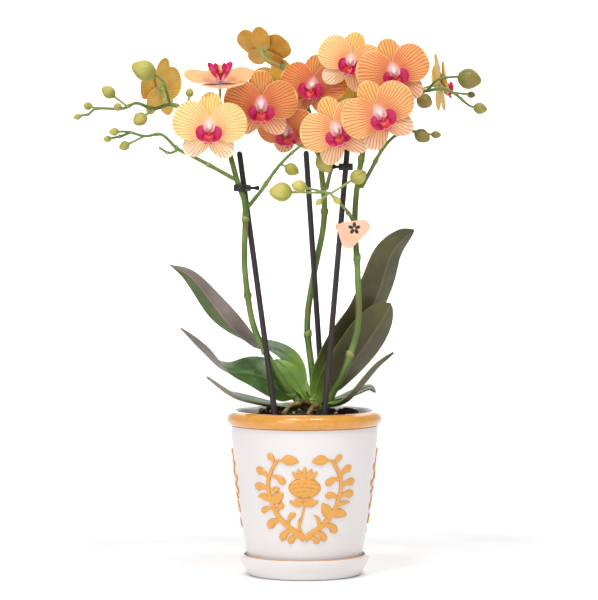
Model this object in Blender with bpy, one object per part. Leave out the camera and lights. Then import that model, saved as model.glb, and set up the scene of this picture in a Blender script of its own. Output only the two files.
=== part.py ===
"""Potted moth orchid: a Phalaenopsis plant with three flower spikes in a nursery pot, in a glazed cover pot.

The pot axis is Z, the saucer stands on Z = 0 and the front of the object looks along -Y. Lengths below are in
millimetres and become metres when a mesh is made. The plant is laid out from its own root point, at the middle
of the potting bark, so it follows the pots when their sizes change.
"""

import math

import bpy
from mathutils import Vector

METRES = 0.001          # one millimetre in Blender units
GAP = 0.3               # clearance between pieces that touch

# ---- Saucer, cover pot and nursery pot -----------------------------------------------------------------------
SAUCER_RIM_R = 46.5     # outer radius of the saucer's rim
SAUCER_HEIGHT = 15.5
SAUCER_WALL = 2.8
SAUCER_FLOOR = 4.0
SAUCER_FOOT_R = 38.0    # radius of the flat underside

POT_HEIGHT = 114.3      # foot to the crest of the rolled rim
POT_TOP_R = 52.8        # wall's outer radius just under the rim
POT_FOOT_R = 39.8       # wall's outer radius at the foot
POT_SWELL = 1.4         # exponent of the wall's taper; 1 is a straight cone
POT_WALL = 4.4
POT_FLOOR = 5.0
POT_EDGE_R = 3.2        # rounding between the wall and the flat foot
RIM_HEIGHT = 11.0       # height of the rolled rim
RIM_OVERHANG = 3.4      # how far the roll stands out from the wall
DRAIN_R = 6.0           # drain hole in the pot's floor

NURSERY_RIM_R = 45.0    # outer radius of the nursery pot's lip
NURSERY_DROP = 7.0      # from the cover pot's crest down to the nursery pot's lip
NURSERY_FOOT_R = 32.0
NURSERY_WALL = 1.1
NURSERY_LIP = 1.6       # how far the lip stands out, and its height
NURSERY_HOLE_R = 3.0
NURSERY_HOLES = 6

BARK_CROWN = 7.0        # how far the bark is heaped above the nursery pot's lip
BARK_RIPPLE = 1.3       # height of the lumps in its top

# ---- Plant ---------------------------------------------------------------------------------------------------
PLANT_HEIGHT = 275.0    # bark to the top of the highest blossom
BLOSSOM_SPAN = 50.0     # tip to tip across the two petals
SPIKE_R = 2.5           # radius of a flower spike at its foot
SPIKE_TIP_R = 1.9
BRANCH_R = 1.7          # radius of a side branch at its fork
BRANCH_TIP_R = 0.8
SPIKE_STEPS = 12        # straight lengths along a spike
BRANCH_STEPS = 8
STALK_R = 0.85          # radius of a flower's or a bud's own stalk
STALK_GAP = 0.6         # from a stalk's end to the back of its blossom
TEPAL_THICK = 1.1
LEAF_THICK = 2.2
ROOT_R = 2.0
ROOT_LIFT = 1.2         # clearance between a root and the lumpy bark
CROWN_R = 5.0
COLLAR = 1.8            # clearance of the hole in the bark around the crown and its roots
STAKE_R = 2.0
STAKE_DEPTH = 40.0      # how deep the stakes go into the bark
CLIP_WALL = 1.2
TAG_WIDTH = 25.0
TAG_THICK = 0.9

PLAN_SPAN = 50.0        # the blossom span, plant height and spike radius that the plan points are drawn for
PLAN_HEIGHT = 275.0
PLAN_SPIKE_R = 2.5
SPREAD_FROM = 60.0      # plan height where stems begin to spread for wider blossoms
HEAD_FROM = 130.0       # plan height where the head of blossoms begins

POT_BASE_Z = SAUCER_FLOOR + GAP
POT_TOP_Z = POT_BASE_Z + POT_HEIGHT
NURSERY_BASE_Z = POT_BASE_Z + POT_FLOOR + GAP
NURSERY_TOP_Z = POT_TOP_Z - NURSERY_DROP
BARK_TOP_Z = NURSERY_TOP_Z + BARK_CROWN
SPREAD = BLOSSOM_SPAN / PLAN_SPAN
RISE = PLANT_HEIGHT / PLAN_HEIGHT

ROUND_SIDES = 36        # facets around the pots
STEM_SIDES = 5
NURSERY_SIDES = 30      # the bark has the same facets, so its gap to the nursery pot stays even

# Plan points are (x, y, z) with z measured from the middle of the bark's top. The grower's routes are chosen
# by hand, since no rule gives them; each is a few points that a smooth curve joins.
SPIKES = {
    "spike_left": [(-4, -9, 6), (-8, -9, 11), (-16, -14, 22), (-27, -14.5, 41), (-35, -13, 57),
                   (-39.5, -13, 75), (-43, -13.5, 107), (-42.5, -11, 146), (-48, -8, 164), (-56, 2, 192),
                   (-64, 10, 214)],
    "spike_middle": [(5, 10, 4), (6, 14, 22), (2, 17, 60), (6, 19, 93), (14, 18, 135), (13, 17, 165),
                     (6, 15, 205), (-6, 18, 236), (-18, 22, 250)],
    "spike_right": [(16, -5, 2.5), (20, -10, 12), (29, -16, 31), (38, -18, 62), (38, -15, 97), (36, -11, 140),
                    (40, -5, 176), (48, 6, 212), (53, 10, 231)],
}
BRANCHES = {
    "branch_left_upper": [(-70, 11, 218), (-84, 9, 217), (-97, 6, 220), (-109, 4, 217), (-121, 2, 221),
                          (-131, 1, 217), (-149, -1, 217), (-155, -2, 213), (-161, -3, 212)],
    "branch_left_lower": [(-51.5, -9.5, 167), (-64, -11, 174), (-79, -12, 182), (-91, -12, 188), (-102, -12, 198),
                          (-114, -13, 197), (-126, -14, 200), (-134, -16, 200)],
    "branch_left_inner": [(-40, -10, 147), (-31, -16, 158), (-18, -21, 176), (-4, -24, 189), (6, -25, 194)],
    "branch_middle": [(16, 13, 160), (19, 11, 172), (24, 9, 184), (30, 8, 196)],
    "branch_right_upper": [(57, 10, 229), (67, 7, 225), (77, 2, 228), (90, -5, 230), (100, -7, 231),
                           (108, -7, 227), (118, -5, 219), (124, -4, 218)],
    "branch_right_lower": [(41, -11, 161), (47, -12, 172), (54, -13, 185), (62, -13, 195), (72, -14, 201),
                           (80, -14, 200), (90, -14, 198)],
    "branch_right_inner": [(36, -15, 134), (32, -22, 141), (28, -27, 146), (17, -34, 157)],
}
# Short forks of a branch or a spike: the points and the radius at the thin end.
FORKS = {
    "branch_left_upper": [[(-97, 6, 220), (-99, -4, 229), (-103, -10, 238), (-115, -12, 244)]],
    "branch_left_lower": [[(-124, -14, 200), (-131, -13, 197), (-140, -12, 195)],
                          [(-91, -12, 187), (-97, -13, 185), (-104, -15, 189)]],
    "branch_right_upper": [[(88, -4, 230), (97, -8, 238), (118, -8, 240)]],
    "branch_right_lower": [[(69, -14, 200), (73, -16, 205), (76, -17, 208)]],
}
# Buds: (centre, length, width, where its stalk leaves the stem).
BUDS = {
    "branch_left_upper": [
        ((-115, -12, 244), 18, 15, (-108, -12, 242)), ((-141, 2, 229), 11, 9, (-127, 1, 219)),
        ((-134, -6, 218), 7, 6, (-130, 1, 217)), ((-156, 3, 219), 7, 6, (-149, -1, 217)),
        ((-163, -3, 211), 6, 4.5, (-158, -2, 212)), ((-118, -7, 209), 12, 10, (-109, 4, 217)),
        ((-83, 14, 229), 7, 6, (-84, 9, 217)),
    ],
    "branch_left_lower": [
        ((-136, -16, 200), 7, 6, (-130, -15, 200)), ((-141, -12, 195), 6, 5, (-136, -12, 196)),
        ((-129, -9, 190), 8, 7, (-114, -13, 197)),
    ],
    "branch_left_inner": [((-9, -19, 173), 11, 9, (-17, -21, 177)), ((14, -25, 177), 14, 12, (5, -25, 185))],
    "branch_middle": [((31, 8, 198), 8, 6, (27, 9, 190))],
    "branch_right_upper": [
        ((118, -8, 238), 17, 15, (110, -8, 240)), ((86, -8, 222), 13, 11, (77, 4, 228)),
        ((126, -4, 217), 10, 8.5, (120, -4, 219)), ((120, 3, 227), 7, 5, (106, -3, 229)),
    ],
    "branch_right_lower": [((84, -15, 197), 12, 10, (78, -14, 200)), ((94, -14, 198), 7, 5.5, (88, -14, 198)),
                           ((57, -7, 199), 6, 5, (52, -13, 184))],
    "branch_right_inner": [
        ((-17, -37, 157), 16, 14, (15, -34, 157)), ((-4, -42, 161), 11, 9, (14, -34, 157)),
        ((38, -35, 168), 12, 11, (18, -33, 156)), ((10, -37, 150), 6, 4.5, (15, -34, 157)),
        ((23, -39, 151), 7, 5, (18, -33, 156)),
    ],
}
# Blossoms: (hub, azimuth, elevation, roll, size, cup, stem that carries it, where its stalk leaves the stem).
# Azimuth 0 faces the front and grows to the right; roll tips the top sepal to the right; cup is how far the
# tips bend forward.
BLOSSOMS = [
    ((-67, -46, 202), 0, 0, 3, 1.0, 0, "spike_left", (-55, 1, 190)),
    ((-60, -28, 235), 0, 68, -6, 0.96, 7, "spike_left", (-61, 7, 207)),
    ((-105, 22, 232), -125, 8, 0, 0.9, 1, "branch_left_upper", (-103, 5, 218)),
    ((-30, 20, 260), 150, 42, -12, 0.8, 5, "spike_middle", (-16, 22, 248)),
    ((-31, -29, 218), 4, -12, 0, 1.0, 1, "spike_middle", (-4, 18, 233)),
    ((-12, -9, 201), -24, -34, -8, 0.9, 1, "spike_middle", (7, 15, 200)),
    ((6, -14, 232), -14, 10, 4, 0.95, 1, "spike_middle", (2, 16, 218)),
    ((32, -24, 249), 6, 4, 16, 0.9, 0, "spike_right", (53, 10, 230)),
    ((63, -36, 241), 4, 4, -13, 1.0, 0, "spike_right", (52, 9, 226)),
    ((23, -40, 200), -8, -4, -22, 1.0, 0, "branch_left_inner", (7, -25, 186)),
    ((53, -52, 211), 4, 0, -27, 1.02, 0, "spike_right", (45, 2, 200)),
    ((99, 22, 235), 99, 6, 0, 0.9, 1, "branch_right_upper", (80, 3, 229)),
    ((-17, 36.5, 232), 175, 8, 0, 0.9, 0, "spike_middle", (-8, 19, 238)),
    ((30, 22, 222), 160, 20, 0, 0.9, 0, "spike_right", (46, 4, 206)),
]
# Leaves: plan points of the midrib, full width, and the way the upper face looks at the base and at the tip.
LEAVES = {
    "leaf_left_back": [[(-2, 11, 18), (-11, 14, 36), (-25, 13, 44), (-38, 9, 48), (-59, 4, 68), (-81, 0, 95),
                        (-97, -3, 105)], 26, 1.0, (0.3, -0.6, 0.8), (-0.6, 0.6, 0.4)],
    "leaf_left_middle": [[(-3, 0, 11), (-14, -1.5, 18), (-36, -6, 26), (-56, -8, 30), (-73, -10, 45),
                          (-88.5, -12, 60)], 32, 1.0, (0, -1, 0.2), (0.3, 0.5, 0.8)],
    "leaf_left_low": [[(-7, -1, 3), (-18, -10, 3.5), (-42, -17.5, 9), (-53, -23, 14), (-69, -30, 26)],
                      20, 0.8, (0, -0.15, 1), (0.3, -0.1, 1)],
    "leaf_left_inner": [[(-1, -6, 12), (-6, -7, 21), (-12, -8, 29), (-21, -7, 37)],
                        13, 0.5, (0.2, -1, 0.1), (0.2, -0.9, 0.4)],
    "leaf_right_back": [[(9, 5, 9), (14, 8, 27), (26, 10, 46), (44, 10, 68), (54, 10, 90), (61, 7, 112),
                         (70, 3, 124), (79, 0, 130)], 36, 0.7, (-0.7, 0.5, 0.5), (-0.6, 0.8, 0.2)],
    "leaf_right_front": [[(13, 0, 9), (21, -1, 20), (38, 0, 41), (52, 1, 61), (62, 3, 77)],
                         39, 0.3, (-0.6, 0.55, 0.5), (-0.45, 0.8, 0.4)],
    "leaf_right_low": [[(15, -13, 4), (31, -20, 10), (52, -20, 34), (63, -21, 43)],
                       18, 0.8, (-0.5, 0.1, 0.9), (-0.7, 0.1, 0.6)],
    "leaf_right_small": [[(16, 9, 5), (36, 16, 11), (47, 18, 15), (52, 19, 12)],
                         13, 0.3, (-0.3, -0.2, 1), (0.2, -0.2, 1)],
}
BEHIND_SPIKE = ("leaf_left_inner",)     # leaves that a flower spike passes closely in front of
# Roots that lie on the bark: places on plan, from inside the crown outwards.
ROOTS = [
    [(4, -1), (-1, -12), (-8, -20), (-16, -24)],
    [(6, -1), (9, -13), (7, -24), (2, -33)],
    [(4, 1), (-4, 13), (-8, 24), (-7, 32)],
    [(4, 0), (-13, 6), (-24, 9), (-33, 6)],
]
# Stakes: top and where they enter the bark.
STAKES = {
    "stake_left": [(-47, 2, 186.5), (-21, -26, -2)],
    "stake_middle": [(1, 4, 187), (14, 20, -5)],
    "stake_right": [(31, -16, 194), (14, -28, -2)],
}
CLIP_LEFT_Z = 160
CLIP_RIGHT_Z = 175
CLIP_HEIGHT = 5.0
TAG_Z = 129
TAG_SHIFT = 0.38        # plate's middle from its stake, as a share of its width
TAG_CORNER_R = 0.2
TAG_CORNERS = [(26, 0.31), (165, 0.27), (243, 0.33)]
TAG_HOLD_RISE = 3.5
TAG_HOLD_HEIGHT = 4.0

# Tepals of a blossom: (angle from the top sepal, length, half width).
TEPALS = [(0, 24, 8.5), (72, 26, 14), (-72, 26, 14), (141, 24, 8), (-141, 24, 8)]
LIP_LOBES = [(180, 12, 4.5), (65, 8, 3.6), (-65, 8, 3.6)]
LIP_REACH = 3.0         # how far the lip and column stand in front of the tepals


def clear_scene():
    for item in list(bpy.data.objects):
        bpy.data.objects.remove(item)


def material(name, colour, roughness, metallic=0.0):
    made = bpy.data.materials.new(name)
    made.use_nodes = True
    shader = made.node_tree.nodes["Principled BSDF"]
    shader.inputs["Base Color"].default_value = (*colour, 1.0)
    shader.inputs["Roughness"].default_value = roughness
    shader.inputs["Metallic"].default_value = metallic
    made.diffuse_color = (*colour, 1.0)
    return made


def make_object(name, points, faces, paint, sharp=40.0):
    """A mesh object from points in millimetres."""
    mesh = bpy.data.meshes.new(name)
    mesh.from_pydata([Vector(p) * METRES for p in points], [], faces)
    mesh.shade_smooth()
    mesh.set_sharp_from_angle(angle=math.radians(sharp))
    mesh.materials.append(paint)
    made = bpy.data.objects.new(name, mesh)
    bpy.context.scene.collection.objects.link(made)
    return made


def guide(name, points, faces, paint):
    """A piece that only serves a Boolean."""
    made = make_object(name, points, faces, paint)
    made.hide_render = True
    made.display_type = "WIRE"
    return made


def boolean(target, other, operation):
    step = target.modifiers.new(other.name, "BOOLEAN")
    step.operation = operation
    step.solver = "EXACT"
    step.object = other


def joined(name, shapes, paint):
    """One body from overlapping closed shapes, each given as points and faces."""
    first = make_object(name, *shapes[0], paint)
    for number, shape in enumerate(shapes[1:]):
        boolean(first, guide(f"{name}_add_{number}", *shape, paint), "UNION")
    return first


# ---- Geometry helpers ----------------------------------------------------------------------------------------
def plan(point):
    """A plan point in millimetres from the world's origin; only the head spreads with the blossoms' span."""
    x, y, z = point
    wider = SPREAD - 1
    across = 1 + wider * min(max((z - SPREAD_FROM) / (HEAD_FROM - SPREAD_FROM), 0.0), 1.0)
    return Vector((x * across, y * across, BARK_TOP_Z + z * RISE + wider * max(z - HEAD_FROM, 0.0)))


def curve_point(points, t):
    """Catmull-Rom position at t from 0 to 1 along the points."""
    spans = len(points) - 1
    k = min(int(t * spans), spans - 1)
    u = t * spans - k
    b, c = points[k], points[k + 1]
    a = points[k - 1] if k > 0 else b * 2 - c
    d = points[k + 2] if k + 2 < len(points) else c * 2 - b
    return 0.5 * (2 * b + (c - a) * u + (2 * a - 5 * b + 4 * c - d) * u ** 2 + (3 * b - a - 3 * c + d) * u ** 3)


def smooth_route(points, steps):
    return [curve_point(points, k / steps) for k in range(steps + 1)]


def directions(route):
    """Unit tangents of a route."""
    last = len(route) - 1
    return [(route[min(k + 1, last)] - route[max(k - 1, 0)]).normalized() for k in range(last + 1)]


def frames_along(route):
    """Two cross directions at each point of a route, turned as little as possible from one to the next."""
    found = []
    side = None
    for tangent in directions(route):
        if side is None:
            side = tangent.orthogonal().normalized()
        side = (side - tangent * side.dot(tangent)).normalized()
        found.append((side, tangent.cross(side)))
    return found


def bridged(rings):
    """Points and faces of a closed body through equal rings, capped at both ends."""
    sides = len(rings[0])
    points = [p for ring in rings for p in ring]
    faces = []
    for k in range(len(rings) - 1):
        for n in range(sides):
            m = (n + 1) % sides
            faces.append((k * sides + n, k * sides + m, (k + 1) * sides + m, (k + 1) * sides + n))
    faces.append(tuple(range(sides - 1, -1, -1)))
    faces.append(tuple((len(rings) - 1) * sides + n for n in range(sides)))
    return points, faces


def tube(route, radii, sides=STEM_SIDES):
    """A round bar along a route with one radius for each of its points."""
    rings = []
    for centre, (side, up), radius in zip(route, frames_along(route), radii):
        turns = [math.tau * n / sides for n in range(sides)]
        rings.append([centre + (side * math.cos(a) + up * math.sin(a)) * radius for a in turns])
    return bridged(rings)


def tapered(first, last, count):
    return [first + (last - first) * k / (count - 1) for k in range(count)]


def egg(centre, axis, length, width, sides=6, rows=3):
    """A bud: an egg whose blunt end is where its stalk comes in."""
    side = axis.orthogonal().normalized()
    up = axis.cross(side)
    rings = []
    for k in range(rows + 1):
        a = math.pi * (k + 0.35) / (rows + 0.7)
        along = -math.cos(a) * length / 2
        radius = math.sin(a) * width / 2 * (1 - 0.18 * along / length)
        turns = [math.tau * n / sides for n in range(sides)]
        rings.append([centre + axis * along + (side * math.cos(t) + up * math.sin(t)) * radius for t in turns])
    return bridged(rings)


def turned(profile, sides=ROUND_SIDES):
    """A closed profile of (radius, height) points turned about Z; points on the axis become one vertex."""
    points, rings, faces = [], [], []
    for radius, height in profile:
        count = 1 if radius == 0 else sides
        rings.append(range(len(points), len(points) + count))
        for n in range(count):
            a = math.tau * n / sides
            points.append(Vector((radius * math.cos(a), radius * math.sin(a), height)))
    for low, high in zip(rings, rings[1:] + rings[:1]):
        if len(low) == len(high) == 1:
            continue
        for n in range(sides):
            m = (n + 1) % sides
            corners = (low[n % len(low)], low[m % len(low)], high[m % len(high)], high[n % len(high)])
            faces.append(tuple(dict.fromkeys(corners)))
    return points, faces


def arc(centre_r, centre_z, radius, start, stop, steps):
    """Profile points on an arc, with its angles in degrees from +R towards +Z."""
    angles = [math.radians(start + (stop - start) * k / steps) for k in range(steps + 1)]
    return [(centre_r + radius * math.cos(a), centre_z + radius * math.sin(a)) for a in angles]


# ---- Pots ----------------------------------------------------------------------------------------------------
def pot_wall_r(z):
    """Outer radius of the cover pot's wall at a height."""
    share = min(max((z - POT_BASE_Z) / (POT_HEIGHT - RIM_HEIGHT), 0.0), 1.0)
    return POT_FOOT_R + (POT_TOP_R - POT_FOOT_R) * (1 - (1 - share) ** POT_SWELL)


def pot_profile():
    under_rim = POT_TOP_Z - RIM_HEIGHT
    foot_top = POT_BASE_Z + POT_EDGE_R
    foot = arc(pot_wall_r(foot_top) - POT_EDGE_R, foot_top, POT_EDGE_R, -90, 0, 2)
    levels = [foot_top + (under_rim - foot_top) * k / 4 for k in range(1, 4)]
    outside = [(pot_wall_r(z), z) for z in levels] + [(POT_TOP_R, under_rim)]
    roll_r = RIM_HEIGHT / 2
    roll_out = POT_TOP_R + RIM_OVERHANG
    inner_r = POT_TOP_R - POT_WALL
    roll = arc(roll_out - roll_r, POT_TOP_Z - roll_r, roll_r, -75, 90, 5)
    lip = [(inner_r + 1.2, POT_TOP_Z - 2.0), (inner_r, POT_TOP_Z - 5.0)]
    floor_z = POT_BASE_Z + POT_FLOOR
    inside_levels = [under_rim + (floor_z + 6 - under_rim) * k / 2 for k in range(3)]
    inside = [(pot_wall_r(z) - POT_WALL, z) for z in inside_levels]
    bottom = [(pot_wall_r(floor_z + 6) - POT_WALL - 5, floor_z), (DRAIN_R, floor_z), (DRAIN_R, POT_BASE_Z)]
    return foot + outside + roll + lip + inside + bottom


def saucer_profile():
    inner_r = SAUCER_RIM_R - SAUCER_WALL
    half = SAUCER_WALL / 2
    outside = [(SAUCER_FOOT_R, 0), (SAUCER_FOOT_R + 3.4, 1.4), (SAUCER_RIM_R - 2.0, SAUCER_HEIGHT * 0.45)]
    rim = arc(SAUCER_RIM_R - half, SAUCER_HEIGHT - half, half, 0, 180, 3)
    inside = [(inner_r - 1.0, SAUCER_HEIGHT * 0.5), (SAUCER_FOOT_R + 2.4, SAUCER_FLOOR + 0.7),
              (SAUCER_FOOT_R + 0.5, SAUCER_FLOOR)]
    return [(0, 0)] + outside + rim + inside + [(0, SAUCER_FLOOR)]


def nursery_r(z):
    """Outer radius of the nursery pot's wall at a height."""
    share = (z - NURSERY_BASE_Z) / (NURSERY_TOP_Z - NURSERY_BASE_Z)
    return NURSERY_FOOT_R + (NURSERY_RIM_R - NURSERY_LIP - NURSERY_FOOT_R) * share


def nursery_profile():
    lip_z = NURSERY_TOP_Z - NURSERY_LIP
    floor_z = NURSERY_BASE_Z + NURSERY_WALL
    return [
        (0, NURSERY_BASE_Z), (NURSERY_FOOT_R, NURSERY_BASE_Z), (nursery_r(lip_z), lip_z),
        (NURSERY_RIM_R, lip_z), (NURSERY_RIM_R, NURSERY_TOP_Z),
        (nursery_r(NURSERY_TOP_Z) - NURSERY_WALL, NURSERY_TOP_Z),
        (nursery_r(floor_z) - NURSERY_WALL, floor_z), (0, floor_z),
    ]


def build_pots():
    glaze = material("glaze_white", (0.86, 0.84, 0.83), 0.25)
    plastic = material("nursery_plastic", (0.09, 0.05, 0.04), 0.5)
    make_object("saucer", *turned(saucer_profile()), glaze)
    make_object("cover_pot", *turned(pot_profile()), glaze)
    nursery = make_object("nursery_pot", *turned(nursery_profile(), NURSERY_SIDES), plastic)
    ring_r = NURSERY_FOOT_R * 0.66
    for n in range(NURSERY_HOLES):
        a = math.tau * (n + 0.5) / NURSERY_HOLES
        foot = Vector((ring_r * math.cos(a), ring_r * math.sin(a), NURSERY_BASE_Z - 2))
        bar = tube([foot, foot + Vector((0, 0, NURSERY_WALL + 4))], [NURSERY_HOLE_R] * 2, 8)
        boolean(nursery, guide(f"nursery_hole_{n}", *bar, plastic), "DIFFERENCE")


# ---- Bark, crown, leaves -------------------------------------------------------------------------------------
def bark_height(x, y):
    """Top of the bark at a place: heaped in the middle and lumpy."""
    edge_r = nursery_r(NURSERY_TOP_Z) - NURSERY_WALL
    heap = BARK_CROWN * (1 - (math.hypot(x, y) / edge_r) ** 2)
    lumps = math.sin(x * 0.21 + 1.0) * math.cos(y * 0.19) + 0.6 * math.sin(x * 0.13 - y * 0.24)
    return NURSERY_TOP_Z - 0.5 + heap + BARK_RIPPLE * lumps


def build_bark():
    paint = material("bark", (0.12, 0.07, 0.045), 0.9)
    rows = 5
    inner_r = nursery_r(NURSERY_TOP_Z) - NURSERY_WALL - GAP * 2
    floor_z = NURSERY_BASE_Z + NURSERY_WALL + GAP
    shelf_z = NURSERY_TOP_Z - 4
    low_r = nursery_r(floor_z) - NURSERY_WALL - GAP
    shelf_r = nursery_r(shelf_z) - NURSERY_WALL - GAP
    profile = [(0, floor_z), (low_r, floor_z), (shelf_r, shelf_z)]
    profile += [(inner_r * (1 - k / rows), BARK_TOP_Z) for k in range(rows)] + [(0, BARK_TOP_Z)]
    points, faces = turned(profile, NURSERY_SIDES)
    for p in points:
        if p.z > NURSERY_TOP_Z:
            p.z = bark_height(p.x, p.y)
    heap = make_object("potting_bark", points, faces, paint)
    for name, (top, entry) in STAKES.items():
        bar = stake_shape(plan(top), plan(entry), GAP)
        boolean(heap, guide(f"{name}_socket", *bar, paint), "DIFFERENCE")
    boolean(heap, guide("crown_socket", *crown_stem(COLLAR), paint), "DIFFERENCE")


def crown_stem(grow=0.0):
    """The short stem, which a socket in the bark repeats a clearance larger."""
    foot, top = plan((5, 0, -10)), plan((5, 0, 7))
    line = [foot - Vector((0, 0, grow)), foot.lerp(top, 0.5), top + Vector((0, 0, grow))]
    return tube(line, [CROWN_R * 0.8 + grow, CROWN_R + grow, CROWN_R * 0.7 + grow], 8)


def root_shape(places):
    """A root that follows the bark's top a little above it and thins towards its tip."""
    line = smooth_route([plan((x, y, 0)) for x, y in places], 7)
    for p in line:
        p.z = bark_height(p.x, p.y) + ROOT_R + ROOT_LIFT
    return tube(line, tapered(ROOT_R, ROOT_R * 0.7, 8), 6)


def leaf_shape(route, width, point, face_base, face_tip, steps=8):
    """A strap leaf: a shallow V across, thick at the midrib and thin at the edge."""
    line = smooth_route(route, steps)
    rings = []
    for k, (centre, tangent) in enumerate(zip(line, directions(line))):
        t = k / steps
        face = Vector(face_base).lerp(Vector(face_tip), t)
        face = (face - tangent * face.dot(tangent)).normalized()
        side = tangent.cross(face)
        half = leaf_half_width(t, width, point)
        rings.append(leaf_section(centre, side, face, half))
    return bridged(rings)


def leaf_half_width(t, width, point):
    """Narrow at the sheath and full in the middle; point runs from 0, a round tip, to 1, a drawn-out one."""
    full = 0.6 - 0.2 * point
    shoulder = 0.3 + 0.7 * math.sin(min(t / (full - 0.05), 1.0) * math.pi / 2)
    past = max((t - full) / (1 - full), 0.0)
    tip = max(1 - past ** (2.4 - 0.9 * point), 0.0) ** (0.5 + 0.45 * point)
    return max(width / 2 * shoulder * tip, 1.0)


def leaf_section(centre, side, face, half):
    fold = 0.16 * half
    across = [-1.0, -0.5, 0.0, 0.5, 1.0]
    upper = [centre + side * half * s + face * (abs(s) * fold + LEAF_THICK * 0.3) for s in across]
    lower = [centre + side * half * s + face * (abs(s) * fold - LEAF_THICK * 0.7 * (1 - 0.7 * abs(s)))
             for s in reversed(across)]
    return upper + lower


def build_plant_base():
    crown_paint = material("crown_green", (0.35, 0.42, 0.12), 0.5)
    leaf_paint = material("leaf_green", (0.09, 0.22, 0.06), 0.35)
    joined("crown_and_roots", [crown_stem()] + [root_shape(places) for places in ROOTS], crown_paint)
    for name, (route, *form) in LEAVES.items():
        room = Vector((0, SPIKE_R - PLAN_SPIKE_R if name in BEHIND_SPIKE else 0, 0))
        make_object(name, *leaf_shape([plan(p) + room for p in route], *form), leaf_paint)


# ---- Stems, buds and blossoms --------------------------------------------------------------------------------
def blossom_axes(azimuth, elevation, roll):
    """Facing, upward and rightward directions of a blossom, all in degrees."""
    az, el, turn = (math.radians(v) for v in (azimuth, elevation, roll))
    facing = Vector((math.sin(az) * math.cos(el), -math.cos(az) * math.cos(el), math.sin(el)))
    up = (Vector((0, 0, 1)) - facing * facing.z).normalized()
    right = up.cross(facing)
    return facing, up * math.cos(turn) + right * math.sin(turn), right * math.cos(turn) - up * math.sin(turn)


def stalk_to(start, end, arrive):
    """A stalk that leaves a stem and bends to arrive at a blossom's back along a direction."""
    reach = (end - start).length * 0.45
    control = end - arrive * reach
    steps = 4
    route = []
    for k in range(steps + 1):
        t = k / steps
        route.append(start * (1 - t) ** 2 + control * 2 * t * (1 - t) + end * t * t)
    return tube(route, [STALK_R] * (steps + 1), 4)


def nearest_point(lines, target):
    """The centreline point that lies nearest to a place, so what grows there starts inside the stem."""
    return min((p for line in lines for p in line[:-1]), key=lambda p: (p - target).length)


def bud_shapes(middle, length, width, root):
    bud = egg(middle, (middle - root).normalized(), length, width)
    if (middle - root).length < length * 0.6:
        return [bud]
    return [tube([root, root.lerp(middle, 0.5), middle], [STALK_R] * 3, 4), bud]


def stem_shapes(name, route, radius, tip_r, steps):
    """A stem with its forks, its buds and the stalks of the blossoms that it carries."""
    lines = [smooth_route([plan(p) for p in route], steps)]
    shapes = [tube(lines[0], tapered(radius, tip_r, steps + 1))]
    for fork in FORKS.get(name, []):
        points = [plan(p) for p in fork]
        points[0] = nearest_point(lines[:1], points[0])
        lines.append(smooth_route(points, 5))
        shapes.append(tube(lines[-1], tapered(STALK_R * 1.2, STALK_R * 0.8, 6), 5))
    for centre, length, width, start in BUDS.get(name, []):
        shapes += bud_shapes(plan(centre), length, width, nearest_point(lines, plan(start)))
    for hub, azimuth, elevation, roll, _, _, stem, start in BLOSSOMS:
        if stem == name:
            facing = blossom_axes(azimuth, elevation, roll)[0]
            back = plan(hub) - facing * (TEPAL_THICK / 2 + STALK_GAP)
            shapes.append(stalk_to(nearest_point(lines, plan(start)), back, facing))
    return shapes


def build_stems():
    green = material("stem_green", (0.25, 0.33, 0.10), 0.45)
    for name, route in SPIKES.items():
        joined(name, stem_shapes(name, route, SPIKE_R, SPIKE_TIP_R, SPIKE_STEPS), green)
    for name, route in BRANCHES.items():
        joined(name, stem_shapes(name, route, BRANCH_R, BRANCH_TIP_R, BRANCH_STEPS), green)


def lobe_reach(turn, lobes, least):
    """Outline radius of overlapping oval lobes that all start at the hub, in a direction in degrees."""
    reach = least
    for angle, length, half in lobes:
        off = math.radians(turn - angle)
        if math.cos(off) > 0:
            oval = (math.cos(off) / (length / 2)) ** 2 + (math.sin(off) / half) ** 2
            reach = max(reach, 4 * math.cos(off) / length / oval)
    return reach


def disc(hub, facing, up, right, lobes, rows, sides, scale):
    """A thin closed sheet with a lobed outline; rows are (share of reach, front height, back height)."""
    turns = [360 * n / sides for n in range(sides)]
    reach = [lobe_reach(a, lobes, 3.0) * scale for a in turns]
    rings_front, rings_back = [], []
    for share, front, back in rows:
        for rings, height in ((rings_front, front), (rings_back, back)):
            ring = []
            for a, r in zip(turns, reach):
                out = up * math.cos(math.radians(a)) + right * math.sin(math.radians(a))
                ring.append(hub + out * r * share + facing * height)
            rings.append(ring)
    return closed_disc(hub, facing, rows, rings_front, rings_back, sides)


def closed_disc(hub, facing, rows, rings_front, rings_back, sides):
    points = [hub + facing * rows[0][1], hub + facing * rows[0][2]]
    faces = []
    loops = rings_front[1:] + rings_back[:0:-1]
    for loop in loops:
        points += loop
    for n in range(sides):
        m = (n + 1) % sides
        faces.append((0, 2 + m, 2 + n))
        for k in range(len(loops) - 1):
            low, high = 2 + k * sides, 2 + (k + 1) * sides
            faces.append((low + n, low + m, high + m, high + n))
        last = 2 + (len(loops) - 1) * sides
        faces.append((1, last + n, last + m))
    return points, faces


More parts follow.
